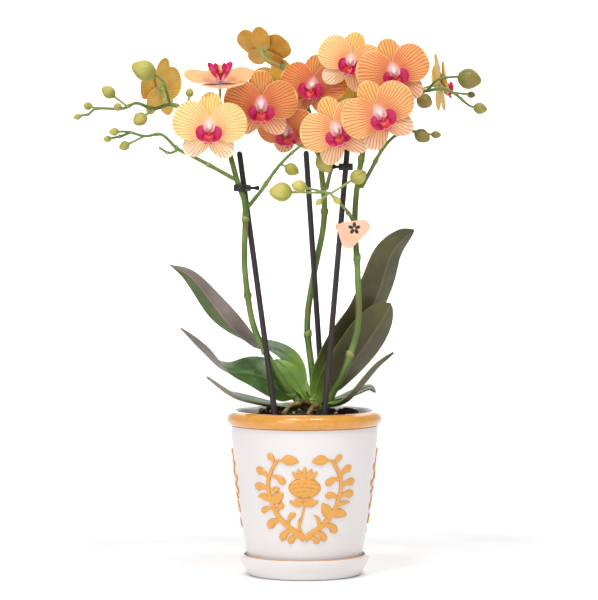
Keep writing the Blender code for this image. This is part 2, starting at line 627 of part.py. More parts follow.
def build_blossoms():
    petal = material("petal_apricot", (0.86, 0.58, 0.22), 0.5)
    magenta = material("lip_magenta", (0.62, 0.05, 0.16), 0.45)
    half = TEPAL_THICK / 2
    for number, (hub, azimuth, elevation, roll, size, cup, _, _) in enumerate(BLOSSOMS, 1):
        axes = blossom_axes(azimuth, elevation, roll)
        scale = size * SPREAD
        middle, tip = cup * 0.3 - 0.3, cup - 2.0
        rows = [(0, half, -half), (0.55, half + middle, middle - half), (1, half + tip, tip - half)]
        sheet = disc(plan(hub), *axes, TEPALS, rows, 25, scale)
        make_object(f"blossom_{number:02d}", *sheet, petal)
        place = plan(hub) + axes[0] * (half + GAP + LIP_REACH)
        lip_rows = [(0, 3.0, -LIP_REACH), (0.4, 1.6, -1.4), (1, 2.4, 1.2)]
        make_object(f"lip_{number:02d}", *disc(place, *axes, LIP_LOBES, lip_rows, 12, scale), magenta)


# ---- Stakes, clips and tag -----------------------------------------------------------------------------------
def stake_shape(top, entry, grow=0.0):
    way = (entry - top).normalized()
    foot = entry + way * (STAKE_DEPTH + grow)
    radii = [STAKE_R * 0.5 + grow, STAKE_R + grow, STAKE_R + grow, STAKE_R * 0.5 + grow]
    return tube([top, top + way * STAKE_R, foot - way * STAKE_R * 2, foot], radii, 8)


def point_on(first, last, z):
    return first.lerp(last, (z - first.z) / (last.z - first.z))


def at_height(line, z):
    """Where a route that climbs passes a height."""
    low = max(k for k, p in enumerate(line) if p.z <= z)
    return point_on(line[low], line[low + 1], z)


def ring_shape(centre_a, centre_b, inner_r, wall, height):
    """An oval band around two upright bars, whose centres are given at its middle height."""
    across = centre_b - centre_a
    across.z = 0
    start = math.atan2(across.y, across.x)
    steps = 8
    loops = []
    for radius, z in ((inner_r, -1), (inner_r + wall, -1), (inner_r + wall, 1), (inner_r, 1)):
        loop = []
        for middle, turn in ((centre_b, start - math.pi / 2), (centre_a, start + math.pi / 2)):
            for k in range(steps):
                a = turn + math.pi * (k + 0.25) / (steps - 0.5)
                loop.append(middle + Vector((math.cos(a) * radius, math.sin(a) * radius, z * height / 2)))
        loops.append(loop)
    return loop_band(loops)


def loop_band(loops):
    """A closed band through loops that run round a hole."""
    sides = len(loops[0])
    points = [p for loop in loops for p in loop]
    faces = []
    for k in range(len(loops)):
        low, high = k * sides, (k + 1) % len(loops) * sides
        for n in range(sides):
            m = (n + 1) % sides
            faces.append((low + n, low + m, high + m, high + n))
    return points, faces


def bar_shape(start, end, height, thick):
    """A flat bar between two points, upright on its edge."""
    along = (end - start).normalized()
    side = Vector((0, 0, 1)).cross(along).normalized() * thick / 2
    up = Vector((0, 0, height / 2))
    return bridged([[p + side + up, p - side + up, p - side - up, p + side - up] for p in (start, end)])


def tag_outline(width):
    """Pebble shape: three corners of one radius, joined by straight edges."""
    corner_r = width * TAG_CORNER_R
    turns = [math.radians(a) for a, _ in TAG_CORNERS]
    corners = [Vector((math.cos(a), 0, math.sin(a))) * width * reach
               for a, (_, reach) in zip(turns, TAG_CORNERS)]
    outline = []
    for n, here in enumerate(corners):
        before, after = here - corners[n - 1], corners[(n + 1) % 3] - here
        start = math.atan2(before.z, before.x) - math.pi / 2
        sweep = (math.atan2(after.z, after.x) - math.pi / 2 - start) % math.tau
        for k in range(5):
            a = start + sweep * k / 4
            outline.append(here + Vector((math.cos(a), 0, math.sin(a))) * corner_r)
    return outline


def build_supports():
    black = material("stake_black", (0.05, 0.035, 0.03), 0.5)
    peach = material("tag_peach", (0.93, 0.66, 0.50), 0.4)
    ends = {name: (plan(top), plan(entry)) for name, (top, entry) in STAKES.items()}
    for name, (top, entry) in ends.items():
        make_object(name, *stake_shape(top, entry), black)
    build_clips(ends, black)
    build_tag(ends["stake_right"], peach)


def build_clips(ends, paint):
    z = plan((0, 0, CLIP_LEFT_Z)).z
    by_stake = point_on(*ends["stake_left"], z)
    by_spike = at_height(smooth_route([plan(p) for p in SPIKES["spike_left"]], SPIKE_STEPS), z)
    inner_r = max(STAKE_R, SPIKE_R) + GAP + 0.9
    band = ring_shape(by_stake, by_spike, inner_r, CLIP_WALL, CLIP_HEIGHT)
    out = Vector((1, 0.1, 0)).normalized()
    edge = by_stake + out * (inner_r + CLIP_WALL * 0.5)
    joined("clip_left", [band, bar_shape(edge, edge + out * 7, CLIP_HEIGHT * 0.6, 1.2)], paint)
    z = plan((0, 0, CLIP_RIGHT_Z)).z
    middle = point_on(*ends["stake_right"], z)
    reach = Vector((1.2, 1.2, 0))
    band = ring_shape(middle - reach, middle + reach, STAKE_R + GAP + 0.5, CLIP_WALL, CLIP_HEIGHT)
    edge = middle - out * (STAKE_R + GAP + 0.5 + CLIP_WALL)
    joined("clip_right", [band, bar_shape(edge, edge - out * 7, CLIP_HEIGHT * 0.6, 1.2)], paint)


def build_tag(ends, paint):
    z = plan((0, 0, TAG_Z)).z
    middle = point_on(*ends, z)
    hold_r = STAKE_R + GAP + 0.2
    held = point_on(*ends, z + TAG_HOLD_RISE)
    nudge = Vector((0.1, 0, 0))
    hold = ring_shape(held - nudge, held + nudge, hold_r, CLIP_WALL, TAG_HOLD_HEIGHT)
    plate_y = held.y - hold_r - CLIP_WALL * 0.6
    centre = Vector((middle.x + TAG_WIDTH * TAG_SHIFT, plate_y, z))
    front = [centre + p - Vector((0, TAG_THICK / 2, 0)) for p in tag_outline(TAG_WIDTH)]
    back = [p + Vector((0, TAG_THICK, 0)) for p in front]
    joined("label_tag", [bridged([front, back]), hold], paint)


def main():
    clear_scene()
    build_pots()
    build_bark()
    build_plant_base()
    build_stems()
    build_blossoms()
    build_supports()


if __name__ == "__main__":
    main()
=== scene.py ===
"""Looks of a potted moth orchid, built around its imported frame.

Places and sizes in the layout below are in millimetres in the frame's own axes: +Z up, the pot's axis on Z
and the front along -Y. Plant points count z from the top of the potting bark.
"""

import math
import random

import bpy
from bpy.props import FloatProperty, FloatVectorProperty, IntProperty, PointerProperty
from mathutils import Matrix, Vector, noise


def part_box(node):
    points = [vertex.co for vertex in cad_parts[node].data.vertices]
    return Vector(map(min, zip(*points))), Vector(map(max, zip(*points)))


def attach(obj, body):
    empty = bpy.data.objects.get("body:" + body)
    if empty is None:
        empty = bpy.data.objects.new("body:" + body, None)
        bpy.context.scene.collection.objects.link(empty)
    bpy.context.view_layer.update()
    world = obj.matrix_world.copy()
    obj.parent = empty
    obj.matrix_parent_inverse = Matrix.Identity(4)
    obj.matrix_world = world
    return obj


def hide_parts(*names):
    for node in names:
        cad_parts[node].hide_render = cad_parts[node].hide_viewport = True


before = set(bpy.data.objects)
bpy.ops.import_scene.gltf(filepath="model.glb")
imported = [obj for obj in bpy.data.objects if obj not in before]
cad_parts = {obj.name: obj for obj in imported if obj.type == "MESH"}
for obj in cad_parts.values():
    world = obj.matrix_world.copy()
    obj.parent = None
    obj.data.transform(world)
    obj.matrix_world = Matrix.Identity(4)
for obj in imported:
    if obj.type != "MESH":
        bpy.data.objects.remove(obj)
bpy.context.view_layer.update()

bl_info = {
    "name": "Potted Moth Orchid",
    "version": (1, 0, 0),
    "blender": (4, 5, 0),
    "location": "View3D > Sidebar > Orchid",
    "description": "Builds the detailed plant, pots and stakes of a potted moth orchid",
    "category": "Add Mesh",
}

METRES = 0.001
BODY = "root"


def top_of(node):
    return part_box(node)[1][2] / METRES


def bottom_of(node):
    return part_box(node)[0][2] / METRES


def radius_of(node):
    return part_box(node)[1][0] / METRES


# ---- Places taken from the frame -----------------------------------------------------------------
BARK_CROWN = 7.0
NURSERY_TOP = top_of("nursery_pot")
NURSERY_R = radius_of("nursery_pot")
BARK_TOP = NURSERY_TOP + BARK_CROWN
POT_BASE = bottom_of("cover_pot")
POT_TOP = top_of("cover_pot")
POT_OUT_R = radius_of("cover_pot")
SAUCER_TOP = top_of("saucer")
SAUCER_R = radius_of("saucer")

# ---- Pot proportions -----------------------------------------------------------------------------
RIM_HEIGHT = 11.0
RIM_MARK = 0.62         # how thick the rim's glaze reads, between pooled and thin
RIM_OVERHANG = 3.4
POT_TOP_R = POT_OUT_R - RIM_OVERHANG
POT_FOOT_R = 39.8
POT_SWELL = 1.4
POT_WALL = 4.4
POT_FLOOR = 5.0
POT_EDGE_R = 3.2
DRAIN_R = 6.0
SAUCER_WALL = 2.8
SAUCER_FLOOR = 4.0
SAUCER_FOOT_R = 38.0
NURSERY_WALL = 1.1
NURSERY_LIP = 1.6
NURSERY_FOOT_R = 32.0

# ---- Plant layout: stems -------------------------------------------------------------------------
SPIKES = {
    "spike_left": [(-4, -9, 6), (-8, -9, 11), (-16, -14, 22), (-27, -14.5, 41), (-35, -13, 57),
                   (-39.5, -13, 75), (-43, -13.5, 107), (-42.5, -11, 146), (-48, -8, 164), (-56, 2, 192),
                   (-64, 10, 214)],
    "spike_middle": [(5, 10, 4), (6, 14, 22), (2, 17, 60), (6, 19, 93), (14, 18, 135), (13, 17, 165),
                     (6, 15, 205), (-6, 18, 236), (-18, 22, 250)],
    "spike_right": [(16, -5, 2.5), (20, -10, 12), (29, -16, 31), (38, -18, 62), (38, -15, 97),
                    (36, -11, 140),
                    (40, -5, 176), (48, 6, 212), (53, 10, 231)],
}
BRANCHES = {
    "branch_left_upper": [(-70, 11, 218), (-84, 9, 217), (-97, 6, 220), (-109, 4, 217), (-121, 2, 221),
                          (-131, 1, 217), (-149, -1, 217), (-155, -2, 213), (-161, -3, 212)],
    "branch_left_lower": [(-51.5, -9.5, 167), (-64, -11, 174), (-79, -12, 182), (-91, -12, 188),
                          (-102, -12, 198),
                          (-114, -13, 197), (-126, -14, 200), (-134, -16, 200)],
    "branch_left_inner": [(-40, -10, 147), (-31, -16, 158), (-18, -21, 176), (-4, -24, 189), (6, -25, 194)],
    "branch_middle": [(16, 13, 160), (19, 11, 172), (24, 9, 184), (30, 8, 196)],
    "branch_right_upper": [(57, 10, 229), (67, 7, 225), (77, 2, 228), (90, -5, 230), (100, -7, 231),
                           (108, -7, 227), (118, -5, 219), (124, -4, 218)],
    "branch_right_lower": [(41, -11, 161), (47, -12, 172), (54, -13, 185), (62, -13, 195), (72, -14, 201),
                           (80, -14, 200), (90, -14, 198)],
    "branch_right_inner": [(36, -15, 134), (32, -22, 141), (28, -27, 146), (17, -34, 157)],
}
FORKS = {
    "branch_left_upper": [[(-97, 6, 220), (-99, -4, 229), (-103, -10, 238), (-115, -12, 244)]],
    "branch_left_lower": [[(-124, -14, 200), (-131, -13, 197), (-140, -12, 195)],
                          [(-91, -12, 187), (-97, -13, 185), (-104, -15, 189)]],
    "branch_right_upper": [[(88, -4, 230), (97, -8, 238), (118, -8, 240)]],
    "branch_right_lower": [[(69, -14, 200), (73, -16, 205), (76, -17, 208)]],
}
# Where the joints of a spike show as swollen rings with a dry bract, as shares of its length.
JOINTS = {"spike_left": (0.17, 0.36, 0.56, 0.70), "spike_middle": (0.28, 0.56, 0.84),
          "spike_right": (0.12, 0.34, 0.57, 0.78), "branch_left_upper": (0.12, 0.3, 0.47, 0.62, 0.78, 0.9),
          "branch_left_lower": (0.28, 0.5, 0.66, 0.85), "branch_left_inner": (0.4, 0.7),
          "branch_middle": (0.5,),
          "branch_right_upper": (0.2, 0.42, 0.6, 0.8), "branch_right_lower": (0.35, 0.62, 0.82),
          "branch_right_inner": (0.45, 0.9)}
# Buds: centre, length, width, where the stalk leaves its stem.
BUDS = {
    "branch_left_upper": [
        ((-115, -12, 244), 18, 15, (-108, -12, 242)), ((-141, 2, 229), 11, 9, (-127, 1, 219)),
        ((-134, -6, 218), 7, 6, (-130, 1, 217)), ((-156, 3, 219), 7, 6, (-149, -1, 217)),
        ((-163, -3, 211), 6, 4.5, (-158, -2, 212)), ((-118, -7, 209), 12, 10, (-109, 4, 217)),
        ((-83, 14, 229), 7, 6, (-84, 9, 217)),
    ],
    "branch_left_lower": [
        ((-136, -16, 200), 7, 6, (-130, -15, 200)), ((-141, -12, 195), 6, 5, (-136, -12, 196)),
        ((-129, -9, 190), 8, 7, (-114, -13, 197)),
    ],
    "branch_left_inner": [((-9, -19, 173), 11, 9, (-17, -21, 177)),
                          ((14, -25, 177), 14, 12, (5, -25, 185))],
    "branch_middle": [((31, 8, 198), 8, 6, (27, 9, 190))],
    "branch_right_upper": [
        ((118, -8, 238), 17, 15, (110, -8, 240)), ((86, -8, 222), 13, 11, (77, 4, 228)),
        ((126, -4, 217), 10, 8.5, (120, -4, 219)), ((120, 3, 227), 7, 5, (106, -3, 229)),
    ],
    "branch_right_lower": [((84, -15, 197), 12, 10, (78, -14, 200)),
                           ((94, -14, 198), 7, 5.5, (88, -14, 198)),
                           ((57, -7, 199), 6, 5, (52, -13, 184))],
    "branch_right_inner": [
        ((-17, -37, 157), 16, 14, (15, -34, 157)), ((-4, -42, 161), 11, 9, (14, -34, 157)),
        ((38, -35, 168), 12, 11, (18, -33, 156)), ((10, -37, 150), 6, 4.5, (15, -34, 157)),
        ((23, -39, 151), 7, 5, (18, -33, 156)),
    ],
}
# How brown the buds of a branch are, from 0 for yellow-green to 1 for olive.
BUD_RIPENESS = {"branch_left_upper": 0.35, "branch_left_lower": 0.3, "branch_left_inner": 0.3,
                "branch_middle": 0.4,
                "branch_right_upper": 0.85, "branch_right_lower": 0.8, "branch_right_inner": 0.2}
# Blossoms: hub, azimuth, elevation, roll, size, cup, carrying stem, where the stalk leaves it, and the
# depth of colour, which is partly the blossom's own cream to apricot tone and partly painted shade: it is
# set deeper on the blossoms that sit in shade among the others.
BLOSSOMS = [
    ((-67, -46, 202), 0, 0, 3, 1.0, 0, "spike_left", (-55, 1, 190), 0.05),
    ((-60, -28, 235), 0, 68, -6, 0.96, 7, "spike_left", (-61, 7, 207), 0.4),
    ((-105, 22, 232), -125, 8, 0, 0.9, 1, "branch_left_upper", (-103, 5, 218), 0.3),
    ((-30, 20, 260), 150, 42, -12, 0.8, 5, "spike_middle", (-16, 22, 248), 0.9),
    ((-31, -29, 218), 4, -12, 0, 1.0, 1, "spike_middle", (-4, 18, 233), 0.8),
    ((-12, -9, 201), -24, -34, -8, 0.9, 1, "spike_middle", (7, 15, 200), 0.9),
    ((6, -14, 232), -14, 10, 4, 0.95, 1, "spike_middle", (2, 16, 218), 0.95),
    ((32, -24, 249), 6, 4, 16, 0.9, 0, "spike_right", (53, 10, 230), 0.3),
    ((63, -36, 241), 4, 4, -13, 1.0, 0, "spike_right", (52, 9, 226), 0.65),
    ((23, -40, 200), -8, -4, -22, 1.0, 0, "branch_left_inner", (7, -25, 186), 0.4),
    ((53, -52, 211), 4, 0, -27, 1.02, 0, "spike_right", (45, 2, 200), 0.5),
    ((99, 22, 235), 99, 6, 0, 0.9, 1, "branch_right_upper", (80, 3, 229), 0.15),
    ((-17, 36.5, 232), 175, 8, 0, 0.9, 0, "spike_middle", (-8, 19, 238), 0.4),
    ((30, 22, 222), 160, 20, 0, 0.9, 0, "spike_right", (46, 4, 206), 0.5),
]
SPIKE_FOOT = (4, -1, -1)
SPIKE_R, SPIKE_TIP_R = 2.5, 1.9
BRANCH_R, BRANCH_TIP_R = 1.7, 0.8
STALK_R = 0.85
TEPAL_HALF = 0.55       # half the thickness that the frame gives the tepals

# ---- Plant layout: leaves, roots, stakes ---------------------------------------------------------
LEAVES = {
    "leaf_left_back": [[(-2, 11, 18), (-11, 14, 36), (-25, 13, 44), (-38, 9, 48), (-59, 4, 68),
                        (-81, 0, 95),
                        (-97, -3, 105)], 26, 1.0, (0.3, -0.6, 0.8), (-0.6, 0.6, 0.4)],
    "leaf_left_middle": [[(-3, 0, 11), (-14, -1.5, 18), (-36, -6, 26), (-56, -8, 30), (-73, -10, 45),
                          (-88.5, -12, 60)], 32, 1.0, (0, -1, 0.2), (0.3, 0.5, 0.8)],
    "leaf_left_low": [[(-7, -1, 3), (-18, -10, 3.5), (-42, -17.5, 9), (-53, -23, 14), (-69, -30, 26)],
                      20, 0.8, (0, -0.15, 1), (0.3, -0.1, 1)],
    "leaf_left_inner": [[(-1, -6, 12), (-6, -7, 21), (-12, -8, 29), (-21, -7, 37)],
                        13, 0.5, (0.2, -1, 0.1), (0.2, -0.9, 0.4)],
    "leaf_right_back": [[(9, 5, 9), (14, 8, 27), (26, 10, 46), (44, 10, 68), (54, 10, 90), (61, 7, 112),
                         (70, 3, 124), (79, 0, 130)], 36, 0.7, (-0.7, 0.5, 0.5), (-0.6, 0.8, 0.2)],
    "leaf_right_front": [[(13, 0, 9), (21, -1, 20), (38, 0, 41), (52, 1, 61), (62, 3, 77)],
                         39, 0.3, (-0.6, 0.55, 0.5), (-0.45, 0.8, 0.4)],
    "leaf_right_low": [[(15, -13, 4), (31, -20, 10), (52, -20, 34), (63, -21, 43)],
                       18, 0.8, (-0.5, 0.1, 0.9), (-0.7, 0.1, 0.6)],
    "leaf_right_small": [[(16, 9, 5), (36, 16, 11), (47, 18, 15), (52, 19, 12)],
                         13, 0.3, (-0.3, -0.2, 1), (0.2, -0.2, 1)],
}
LEAF_THICK = 2.2
CROWN_R = 5.0
ROOT_R = 2.0
ROOT_LIFT = 1.2
ROOTS = [
    [(4, -1), (-1, -12), (-8, -20), (-16, -24)],
    [(6, -1), (9, -13), (7, -24), (2, -33)],
    [(4, 1), (-4, 13), (-8, 24), (-7, 32)],
    [(4, 0), (-13, 6), (-24, 9), (-33, 6)],
]
STAKES = {
    "stake_left": [(-47, 2, 186.5), (-21, -26, -2)],
    "stake_middle": [(1, 4, 187), (14, 20, -5)],
    "stake_right": [(31, -16, 194), (14, -28, -2)],
}
STAKE_R = 2.0
STAKE_DEPTH = 40.0
TAG_Z = 129
TAG_WIDTH = 25.0
TAG_THICK = 0.9
CLIP_WALL = 1.2
TAG_SHIFT = 0.38
TAG_CORNER_R = 0.2
TAG_CORNERS = [(26, 0.31), (165, 0.27), (243, 0.33)]
TAG_HOLD_RISE = 3.5
TAG_HOLD_HEIGHT = 4.0

# ---- Blossom proportions -------------------------------------------------------------------------
# Tepals: angle from the top sepal, length, half width, whether it is a petal, veins across it.
TEPALS = [(0, 24.5, 9.0, False, 9), (141, 24, 8.6, False, 9), (-141, 24, 8.6, False, 9),
          (72, 26, 14, True, 13), (-72, 26, 14, True, 13)]


def srgb(red, green, blue):
    """Linear colour from 0 to 255 values."""
    shares = [v / 255 for v in (red, green, blue)]
    return tuple(s / 12.92 if s <= 0.04045 else ((s + 0.055) / 1.055) ** 2.4 for s in shares)


class OrchidSettings(bpy.types.PropertyGroup):
    """Sizes and colours that a user would change."""

    round_sides: IntProperty(name="Round Sides", description="Facets around the pots", default=96, min=24)
    relief_height: FloatProperty(name="Relief Height",
                                 description="How far the pot's ornament stands out, in mm",
                                 default=1.15, min=0.2, max=2.5)
    chip_count: IntProperty(name="Bark Chips", description="Loose chips on the bark", default=210, min=0)
    tepal_rows: IntProperty(name="Tepal Rows", description="Mesh rows along a sepal or petal", default=16,
                            min=6)
    glaze_white: FloatVectorProperty(name="Glaze", description="Colour of the pot's glaze", subtype="COLOR",
                                     default=srgb(231, 227, 226))
    glaze_orange: FloatVectorProperty(name="Rim Glaze", description="Colour of the rim and ornament",
                                      subtype="COLOR", default=srgb(228, 160, 56))
    leaf_green: FloatVectorProperty(name="Leaf", description="Upper side of the leaves", subtype="COLOR",
                                    default=srgb(52, 86, 36))
    leaf_under: FloatVectorProperty(name="Leaf Underside", description="Under side of the leaves",
                                    subtype="COLOR", default=srgb(112, 96, 92))
    petal_cream: FloatVectorProperty(name="Petal Cream", description="Ground colour of the pale blossoms",
                                     subtype="COLOR", default=srgb(252, 216, 142))
    # The apricot also serves as painted shade on the blossoms that sit deep among the others.
    petal_apricot: FloatVectorProperty(name="Petal Apricot",
                                       description="Ground colour of the deep blossoms",
                                       subtype="COLOR", default=srgb(218, 136, 62))
    petal_vein: FloatVectorProperty(name="Petal Veins", description="Colour of the veins", subtype="COLOR",
                                    default=srgb(206, 72, 58))
    lip_magenta: FloatVectorProperty(name="Lip", description="Colour of the blossoms' lips",
                                     subtype="COLOR",
                                     default=srgb(206, 28, 96))


# ---- Curves --------------------------------------------------------------------------------------
def plan(point):
    """A plant point in millimetres from the world's origin."""
    return Vector((point[0], point[1], BARK_TOP + point[2]))


def curve_point(points, t):
    """Catmull-Rom position at t from 0 to 1 along the points."""
    spans = len(points) - 1
    k = min(int(t * spans), spans - 1)
    u = t * spans - k
    b, c = points[k], points[k + 1]
    a = points[k - 1] if k > 0 else b * 2 - c
    d = points[k + 2] if k + 2 < len(points) else c * 2 - b
    bend = (2 * a - 5 * b + 4 * c - d) * u ** 2
    twist = (3 * b - a - 3 * c + d) * u ** 3
    return 0.5 * (2 * b + (c - a) * u + bend + twist)


def smooth_route(points, steps):
    return [curve_point(points, k / steps) for k in range(steps + 1)]


def directions(route):
    last = len(route) - 1
    return [(route[min(k + 1, last)] - route[max(k - 1, 0)]).normalized() for k in range(last + 1)]


def frames_along(route):
    """Two cross directions at each point of a route, turned as little as possible from one to the next."""
    found = []
    side = None
    for tangent in directions(route):
        if side is None:
            side = tangent.orthogonal().normalized()
        side = (side - tangent * side.dot(tangent)).normalized()
        found.append((side, tangent.cross(side)))
    return found


def nearest_point(lines, target):
    return min((p for line in lines for p in line[:-1]), key=lambda p: (p - target).length)


def ease(value, low, high):
    """0 at low and beyond, 1 at high and beyond, smooth between; low may be the larger of the two."""
    t = min(max((value - low) / (high - low), 0.0), 1.0)
    return t * t * (3 - 2 * t)


# ---- Meshes --------------------------------------------------------------------------------------
class Skin:
    """Collects one piece's points, faces, material slots and shading marks, in millimetres.

    A mark is (across, along, tone, edge), which the materials read as the attribute "plan".
    """

    def __init__(self):
        self.points, self.marks, self.faces, self.slots = [], [], [], []

    def add(self, points, marks, faces, slot=0):
        start = len(self.points)
        self.points += points
        self.marks += marks
        for face in faces:
            self.faces.append(tuple(start + n for n in face))
            self.slots.append(slot)

    def grid(self, rows, marks, slot=0, wrap=False, caps=False):
        """Faces over rows of equal length; wrap joins a row's ends, caps close the first and last row."""
        wide = len(rows[0])
        faces = []
        for k in range(len(rows) - 1):
            for n in range(wide if wrap else wide - 1):
                m = (n + 1) % wide
                faces.append((k * wide + n, k * wide + m, (k + 1) * wide + m, (k + 1) * wide + n))
        if caps:
            faces.append(tuple(range(wide - 1, -1, -1)))
            faces.append(tuple((len(rows) - 1) * wide + n for n in range(wide)))
        self.add([p for row in rows for p in row], [m for row in marks for m in row], faces, slot)

    def sheet(self, front, back, marks, slots=(0, 1)):
        """A closed sheet from its two faces; the front's rows run so that its normal is across x along."""
        wide, tall = len(front[0]), len(front)
        start = len(self.points)
        self.grid(front, marks, slots[0])
        middle = len(self.points)
        self.points += [p for row in back for p in row]
        self.marks += [m for row in marks for m in row]
        for k in range(tall - 1):
            for n in range(wide - 1):
                a, b = middle + k * wide + n, middle + (k + 1) * wide + n
                self.faces.append((a, b, b + 1, a + 1))
                self.slots.append(slots[1])
        edge = [n for n in range(wide)] + [k * wide + wide - 1 for k in range(1, tall)]
        edge += [(tall - 1) * wide + n for n in range(wide - 2, -1, -1)]
        edge += [k * wide for k in range(tall - 2, 0, -1)]
        for n, here in enumerate(edge):
            there = edge[(n + 1) % len(edge)]
            self.faces.append((start + there, start + here, middle + here, middle + there))
            self.slots.append(slots[0])

    def finish(self, name, paints, nodes, sharp=60.0):
        """Makes the object, gives it its materials and ties it to the frame."""
        mesh = bpy.data.meshes.new(name)
        mesh.from_pydata([Vector(p) * METRES for p in self.points], [], self.faces)
        mark = mesh.attributes.new("plan", "FLOAT_COLOR", "POINT")
        mark.data.foreach_set("color", [v for m in self.marks for v in m])
        mesh.polygons.foreach_set("material_index", self.slots)
        mesh.shade_smooth()
        mesh.set_sharp_from_angle(angle=math.radians(sharp))
        for paint in paints:
            mesh.materials.append(paint)
        made = bpy.data.objects.new(name, mesh)
        bpy.context.scene.collection.objects.link(made)
        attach(made, BODY)
        if nodes:
            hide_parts(*nodes)
        return made


def ring(centre, side, up, radius, sides, shape=None):
    points = []
    for n in range(sides):
        a = math.tau * n / sides
        r = radius * (shape(a) if shape else 1.0)
        points.append(centre + (side * math.cos(a) + up * math.sin(a)) * r)
    return points


def add_tube(skin, route, radii, sides=12, slot=0, tone=0.0):
    """A round bar closed flat at both ends, marked along its length in millimetres."""
    rows, marks = [], []
    run = 0.0
    for k, (centre, (side, up)) in enumerate(zip(route, frames_along(route))):
        run += (centre - route[k - 1]).length if k else 0.0
        rows.append(ring(centre, side, up, radii[k], sides))
        marks.append([(n / sides, run, tone, 0.0) for n in range(sides)])
    skin.grid(rows, marks, slot, wrap=True, caps=True)


def turned_rows(profile, sides):
    rows = []
    for radius, height in profile:
        turns = [math.tau * n / sides for n in range(sides)]
        rows.append([Vector((radius * math.cos(a), radius * math.sin(a), height)) for a in turns])
    return rows


def add_turned(skin, profile, sides, closed, slot_of):
    """A profile of (radius, height) turned about Z; slot_of gives the material slot of each band."""
    rows = turned_rows(profile, sides)
    bands = list(zip(rows, rows[1:] + (rows[:1] if closed else [])))
    start = len(skin.points)
    skin.points += [p for row in rows for p in row]
    skin.marks += [(0.0, p.z, 0.0, 0.0) for row in rows for p in row]
    for k in range(len(bands) if closed else len(rows) - 1):
        low, high = start + k * sides, start + (k + 1) % len(rows) * sides
        for n in range(sides):
            m = (n + 1) % sides
            skin.faces.append((low + n, low + m, high + m, high + n))
            skin.slots.append(slot_of(k))
    if not closed:
        skin.faces.append(tuple(start + n for n in range(sides - 1, -1, -1)))
        skin.faces.append(tuple(start + (len(rows) - 1) * sides + n for n in range(sides)))
        skin.slots += [slot_of(0), slot_of(len(rows) - 2)]


def arc(centre_r, centre_z, radius, start, stop, steps):
    angles = [math.radians(start + (stop - start) * k / steps) for k in range(steps + 1)]
    return [(centre_r + radius * math.cos(a), centre_z + radius * math.sin(a)) for a in angles]


# ---- Materials -----------------------------------------------------------------------------------
class Paint:
    """A node material under construction, with short calls for the nodes that its finishes use."""

    def __init__(self, name, roughness=0.5, specular=0.5):
        self.material = bpy.data.materials.new(name)
        self.material.use_nodes = True
        self.tree = self.material.node_tree
        self.shader = self.tree.nodes["Principled BSDF"]
        self.shader.inputs["Roughness"].default_value = roughness
        self.shader.inputs["Specular IOR Level"].default_value = specular

    def put(self, socket, value):
        if isinstance(value, bpy.types.NodeSocket):
            self.tree.links.new(value, socket)
        elif isinstance(value, (tuple, list)) and len(value) == 3 and len(socket.default_value) == 4:
            socket.default_value = (*value, 1.0)
        else:
            socket.default_value = value

    def node(self, kind, **settings):
        made = self.tree.nodes.new(kind)
        for key, value in settings.items():
            setattr(made, key, value)
        return made

    def math(self, operation, *values, clamp=False):
        made = self.node("ShaderNodeMath", operation=operation, use_clamp=clamp)
        for socket, value in zip(made.inputs, values):
            self.put(socket, value)
        return made.outputs[0]

    def times(self, a, b):
        return self.math("MULTIPLY", a, b)

    def plus(self, a, b):
        return self.math("ADD", a, b)

    def span(self, value, low, high, out_low=0.0, out_high=1.0):
        made = self.node("ShaderNodeMapRange", interpolation_type="SMOOTHSTEP")
        for socket, number in zip(made.inputs, (value, low, high, out_low, out_high)):
            self.put(socket, number)
        return made.outputs[0]

    def mix(self, share, first, second, blend="MIX"):
        made = self.node("ShaderNodeMix", data_type="RGBA", blend_type=blend)
        self.put(made.inputs[0], share)
        self.put(made.inputs[6], first)
        self.put(made.inputs[7], second)
        return made.outputs[2]

    def marks(self):
        """Across, along, tone and edge of the piece."""
        source = self.node("ShaderNodeAttribute", attribute_name="plan")
        parts = self.node("ShaderNodeSeparateXYZ")
        self.put(parts.inputs[0], source.outputs["Vector"])
        return parts.outputs[0], parts.outputs[1], parts.outputs[2], source.outputs["Alpha"]

    def place(self, stretch=(1, 1, 1)):
        """Position on the object, in millimetres times the stretch."""
        source = self.node("ShaderNodeTexCoord")
        scaled = self.node("ShaderNodeVectorMath", operation="MULTIPLY")
        self.put(scaled.inputs[0], source.outputs["Object"])
        scaled.inputs[1].default_value = [s / METRES for s in stretch]
        return scaled.outputs[0]

    def mottle(self, scale, detail=2.0, where=None, roughness=0.5):
        made = self.node("ShaderNodeTexNoise")
        self.put(made.inputs["Vector"], where or self.place())
        self.put(made.inputs["Scale"], scale)
        self.put(made.inputs["Detail"], detail)
        self.put(made.inputs["Roughness"], roughness)
        return made.outputs["Fac"]

    def cells(self, scale, where=None, feature="F1"):
        made = self.node("ShaderNodeTexVoronoi", feature=feature)
        self.put(made.inputs["Vector"], where or self.place())
        self.put(made.inputs["Scale"], scale)
        return made.outputs["Distance"]

    def lines(self, coordinate, width):
        """1 on lines where the coordinate is whole, 0 between."""
        saw = self.math("FRACT", coordinate)
        off = self.math("ABSOLUTE", self.math("SUBTRACT", saw, 0.5))
        return self.span(off, 0.5 - width, 0.5)

    def bump(self, height, depth_mm, strength=1.0):
        made = self.node("ShaderNodeBump")
        made.inputs["Strength"].default_value = strength
        made.inputs["Distance"].default_value = depth_mm * METRES
        self.put(made.inputs["Height"], height)
        self.put(self.shader.inputs["Normal"], made.outputs[0])

    def colour(self, value):
        self.put(self.shader.inputs["Base Color"], value)

    def rough(self, value):
        self.put(self.shader.inputs["Roughness"], value)

    def constant(self, **values):
        for name, value in values.items():
            self.put(self.shader.inputs[name.replace("_", " ")], value)


def soften(paint, weight, radius_mm):
    """Light that scatters a little way into the surface."""
    paint.shader.inputs["Subsurface Weight"].default_value = weight
    paint.shader.inputs["Subsurface Radius"].default_value = (1.0, 0.5, 0.25)
    paint.shader.inputs["Subsurface Scale"].default_value = radius_mm * METRES


